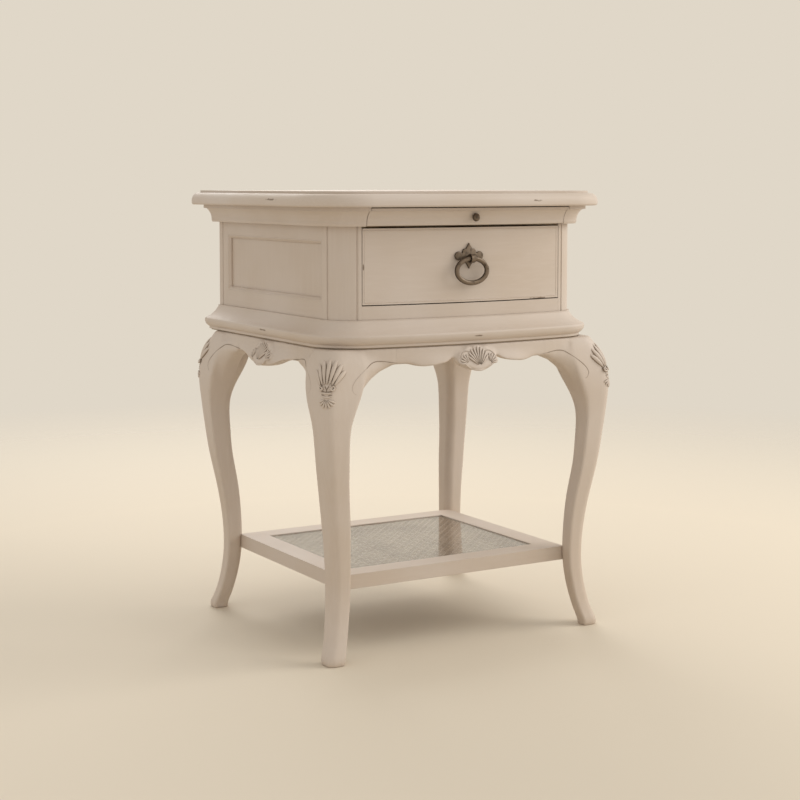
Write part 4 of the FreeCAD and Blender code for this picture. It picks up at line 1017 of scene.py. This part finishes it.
# %% Weave the panel
CANE_PITCH = 0.0138
CANE_PAIR = 0.0040
CANE_TUCK = 0.0030
CANE_THICK, CANE_WAVE = 0.0006, 0.00025
SLANT_SPAN = 0.44
CANE_SETS = [
    # name, turn, width of a strand, height over the middle of the panel, share of painted shade
    ("back", 0.0, 0.0026, -0.0003, 0.9),
    ("across", math.pi / 2, 0.0026, 0.0002, 0.9),
    ("slant", math.pi / 4, 0.0028, 0.0006, 0.0),
    ("counter", -math.pi / 4, 0.0028, 0.0006, 0.0),
]
cane_low, cane_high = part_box("cane_panel")
cane_middle = (cane_low + cane_high) / 2
cane_half = (cane_high - cane_low) / 2
cane_parts = []
for label, turn, width, lift, painted_shade in CANE_SETS:
    slanted = label in ("slant", "counter")
    pitch = CANE_PITCH * (math.sqrt(0.5) if slanted else 1.0)
    span = SLANT_SPAN if slanted else 2 * (cane_half.y if label == "back" else cane_half.x) + 2 * CANE_TUCK
    breadth = SLANT_SPAN if slanted else 2 * (cane_half.x if label == "back" else cane_half.y)
    for shift in ((0.0,) if slanted else (-CANE_PAIR / 2, CANE_PAIR / 2)):
        part = grown(STRANDS, "strands", {
            "Strands": int(breadth / pitch), "Pitch": pitch, "Length": span, "Turn": turn, "Width": width,
            "Thick": CANE_THICK, "Wave": CANE_WAVE, "Lift": lift, "Shade": painted_shade,
            "Half X": cane_half.x + CANE_TUCK, "Half Y": cane_half.y + CANE_TUCK})
        part.transform(Matrix.Translation(cane_middle + Matrix.Rotation(turn, 3, "Z") @ Vector((shift, 0, 0))))
        cane_parts.append(part)
weave = one_mesh("woven_cane", cane_parts)
placed(weave.name, weave, cane_finish, "cane", "cane_panel")
print("faces in the cane:", len(weave.polygons))

# %% [markdown]
# ## Drawer pull
#
# The plate behind the ring is cut from thick sheet: a leaf with stepped shoulders, a round lobe at each side
# and a point below. Half of its edge is drawn as arcs and mirrored, then the sheet gets its thickness and a
# bevel all round. The ring, its eye and the knob of the slide keep their solids.

# %% Draw the plate
def arc(centre, radius, first, last, steps):
    angles = [math.radians(first + (last - first) * i / steps) for i in range(steps + 1)]
    return [(centre[0] + radius * math.cos(a), centre[1] + radius * math.sin(a)) for a in angles]


def plate_outline():
    leaf = [(0.0, 0.0188), (0.0020, 0.0150), (0.0044, 0.0122), (0.0050, 0.0104)]
    shoulder = arc((0.0074, 0.0066), 0.0036, 118, -20, 6)
    lobe = arc((0.0178, 0.0000), 0.0062, 148, -148, 12)
    point = [(0.0086, -0.0060), (0.0066, -0.0088), (0.0036, -0.0124), (0.0014, -0.0162), (0.0, -0.0188)]
    half = leaf + shoulder + lobe + point
    return half + [(-x, z) for x, z in reversed(half[1:-1])]


print("points on the plate's edge:", len(plate_outline()))

# %% Cut the plate
PLATE_THICK = 0.0030
PLATE_EDGE, EDGE_STEPS = 0.0009, 3
EDGE_FROM, PLATE_SHARP_FROM = math.radians(60), math.radians(40)
plate_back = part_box("pull_backplate")[1].y
plate_middle = middle_of("pull_backplate")
form = bmesh.new()
corners = [form.verts.new((plate_middle.x + x, plate_back, plate_middle.z + z)) for x, z in plate_outline()]
sheet = form.faces.new(corners)
front = bmesh.ops.extrude_face_region(form, geom=[sheet])["geom"]
bmesh.ops.translate(form, vec=(0, -PLATE_THICK, 0), verts=[g for g in front if isinstance(g, bmesh.types.BMVert)])
bmesh.ops.recalc_face_normals(form, faces=form.faces)
plate = bpy.data.meshes.new("pull_plate")
form.to_mesh(plate)
form.free()
plate_blank = loose_object("plate_blank", plate)
edge = plate_blank.modifiers.new("edge", "BEVEL")
edge.width = PLATE_EDGE
edge.segments = EDGE_STEPS
edge.limit_method = "ANGLE"
edge.angle_limit = EDGE_FROM
plate = baked(plate_blank, "pull_plate")
plate.shade_smooth()
plate.set_sharp_from_angle(angle=PLATE_SHARP_FROM)
placed(plate.name, plate, metal, "antique_metal", "pull_backplate", body="drawer")
print("faces on the plate:", len(plate.polygons))

# %% [markdown]
# ## Light
#
# A large soft lamp stands to the right and above, and a second one behind the table aims low, under the case, to
# light the shelf. A weak one fills from the left, and the sky fills the rest. The lamps are near white, so that each
# colour renders about as it is written. A photographer turns a filter until no lamp shows in a glass; here light
# linking leaves the glass out of what the lamps light, so it mirrors the sky and the table alone. The floor is
# plain and pale, and fades out before its rim, so that no horizon cuts the picture.

# %% Lamps
unlit = bpy.data.collections.new("left out by the lamps")
unlit.objects.link(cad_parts["shelf_glass"])
unlit.collection_objects[0].light_linking.link_state = "EXCLUDE"


def lamp(name, place, aim, size, power, tint):
    data = bpy.data.lights.new(name, "AREA")
    data.shape = "DISK"
    data.size = size
    data.energy = power
    data.color = tint
    made = bpy.data.objects.new(name, data)
    made.location = place
    made.rotation_euler = (Vector(aim) - Vector(place)).to_track_quat("-Z", "Y").to_euler()
    made.light_linking.receiver_collection = unlit
    bpy.context.scene.collection.objects.link(made)


lamp("key", (2.50, -1.20, 1.80), aim=(0.0, 0.0, 0.40), size=2.2, power=50.0, tint=(1.0, 0.99, 0.97))
lamp("fill", (-2.4, -1.2, 1.3), aim=(0.0, 0.0, 0.35), size=1.8, power=3.0, tint=(1.0, 0.99, 0.98))
lamp("back", (0.6, 2.2, 1.8), aim=(0.0, 0.0, 0.15), size=1.8, power=27.0, tint=(1.0, 1.0, 1.0))
print("lamps:", len(bpy.data.lights))

# %% Sky
BACKDROP = colour(224, 215, 200)
SKY = (1.0, 0.99, 0.975, 1.0)
SKY_STRENGTH = 0.75
world = bpy.data.worlds.new("sky")
bpy.context.scene.world = world
world.use_nodes = True
sky = world.node_tree
sky.nodes.clear()
rays = add(sky, "ShaderNodeLightPath").outputs
mirrored = calc(sky, "MAXIMUM", rays["Is Glossy Ray"], rays["Is Transmission Ray"])
seen = calc(sky, "MAXIMUM", rays["Is Camera Ray"], mirrored)
fill = add(sky, "ShaderNodeBackground", {"Color": SKY, "Strength": SKY_STRENGTH}).outputs[0]
backdrop = add(sky, "ShaderNodeBackground", {"Color": BACKDROP, "Strength": 1.0}).outputs[0]
both = add(sky, "ShaderNodeMixShader", {0: seen, 1: fill, 2: backdrop}).outputs[0]
add(sky, "ShaderNodeOutputWorld", {"Surface": both})
print("sky strength", SKY_STRENGTH)

# %% Floor
FLOOR = colour(214, 201, 180)
FLOOR_RADIUS, FLOOR_SIDES = 3.0, 64
FLOOR_DULL = 0.8
FADE_START, FADE_END = 1.0, 2.6
floor_finish, tree, shader, places = start_finish("floor")
shader.inputs["Base Color"].default_value = FLOOR
shader.inputs["Roughness"].default_value = FLOOR_DULL
away = add(tree, "ShaderNodeVectorMath", {0: places}, operation="LENGTH").outputs["Value"]
clear = add(tree, "ShaderNodeBsdfTransparent").outputs[0]
gone = remap(tree, away, FADE_START, FADE_END)
fade = add(tree, "ShaderNodeMixShader", {0: gone, 1: shader.outputs[0], 2: clear}).outputs[0]
tree.links.new(fade, tree.nodes["Material Output"].inputs["Surface"])
form = bmesh.new()
bmesh.ops.create_circle(form, cap_ends=True, segments=FLOOR_SIDES, radius=FLOOR_RADIUS)
disc = bpy.data.meshes.new("floor")
form.to_mesh(disc)
form.free()
disc.materials.append(floor_finish)
loose_object("floor", disc)
bpy.context.scene.view_settings.view_transform = "Standard"
print("floor radius", FLOOR_RADIUS)
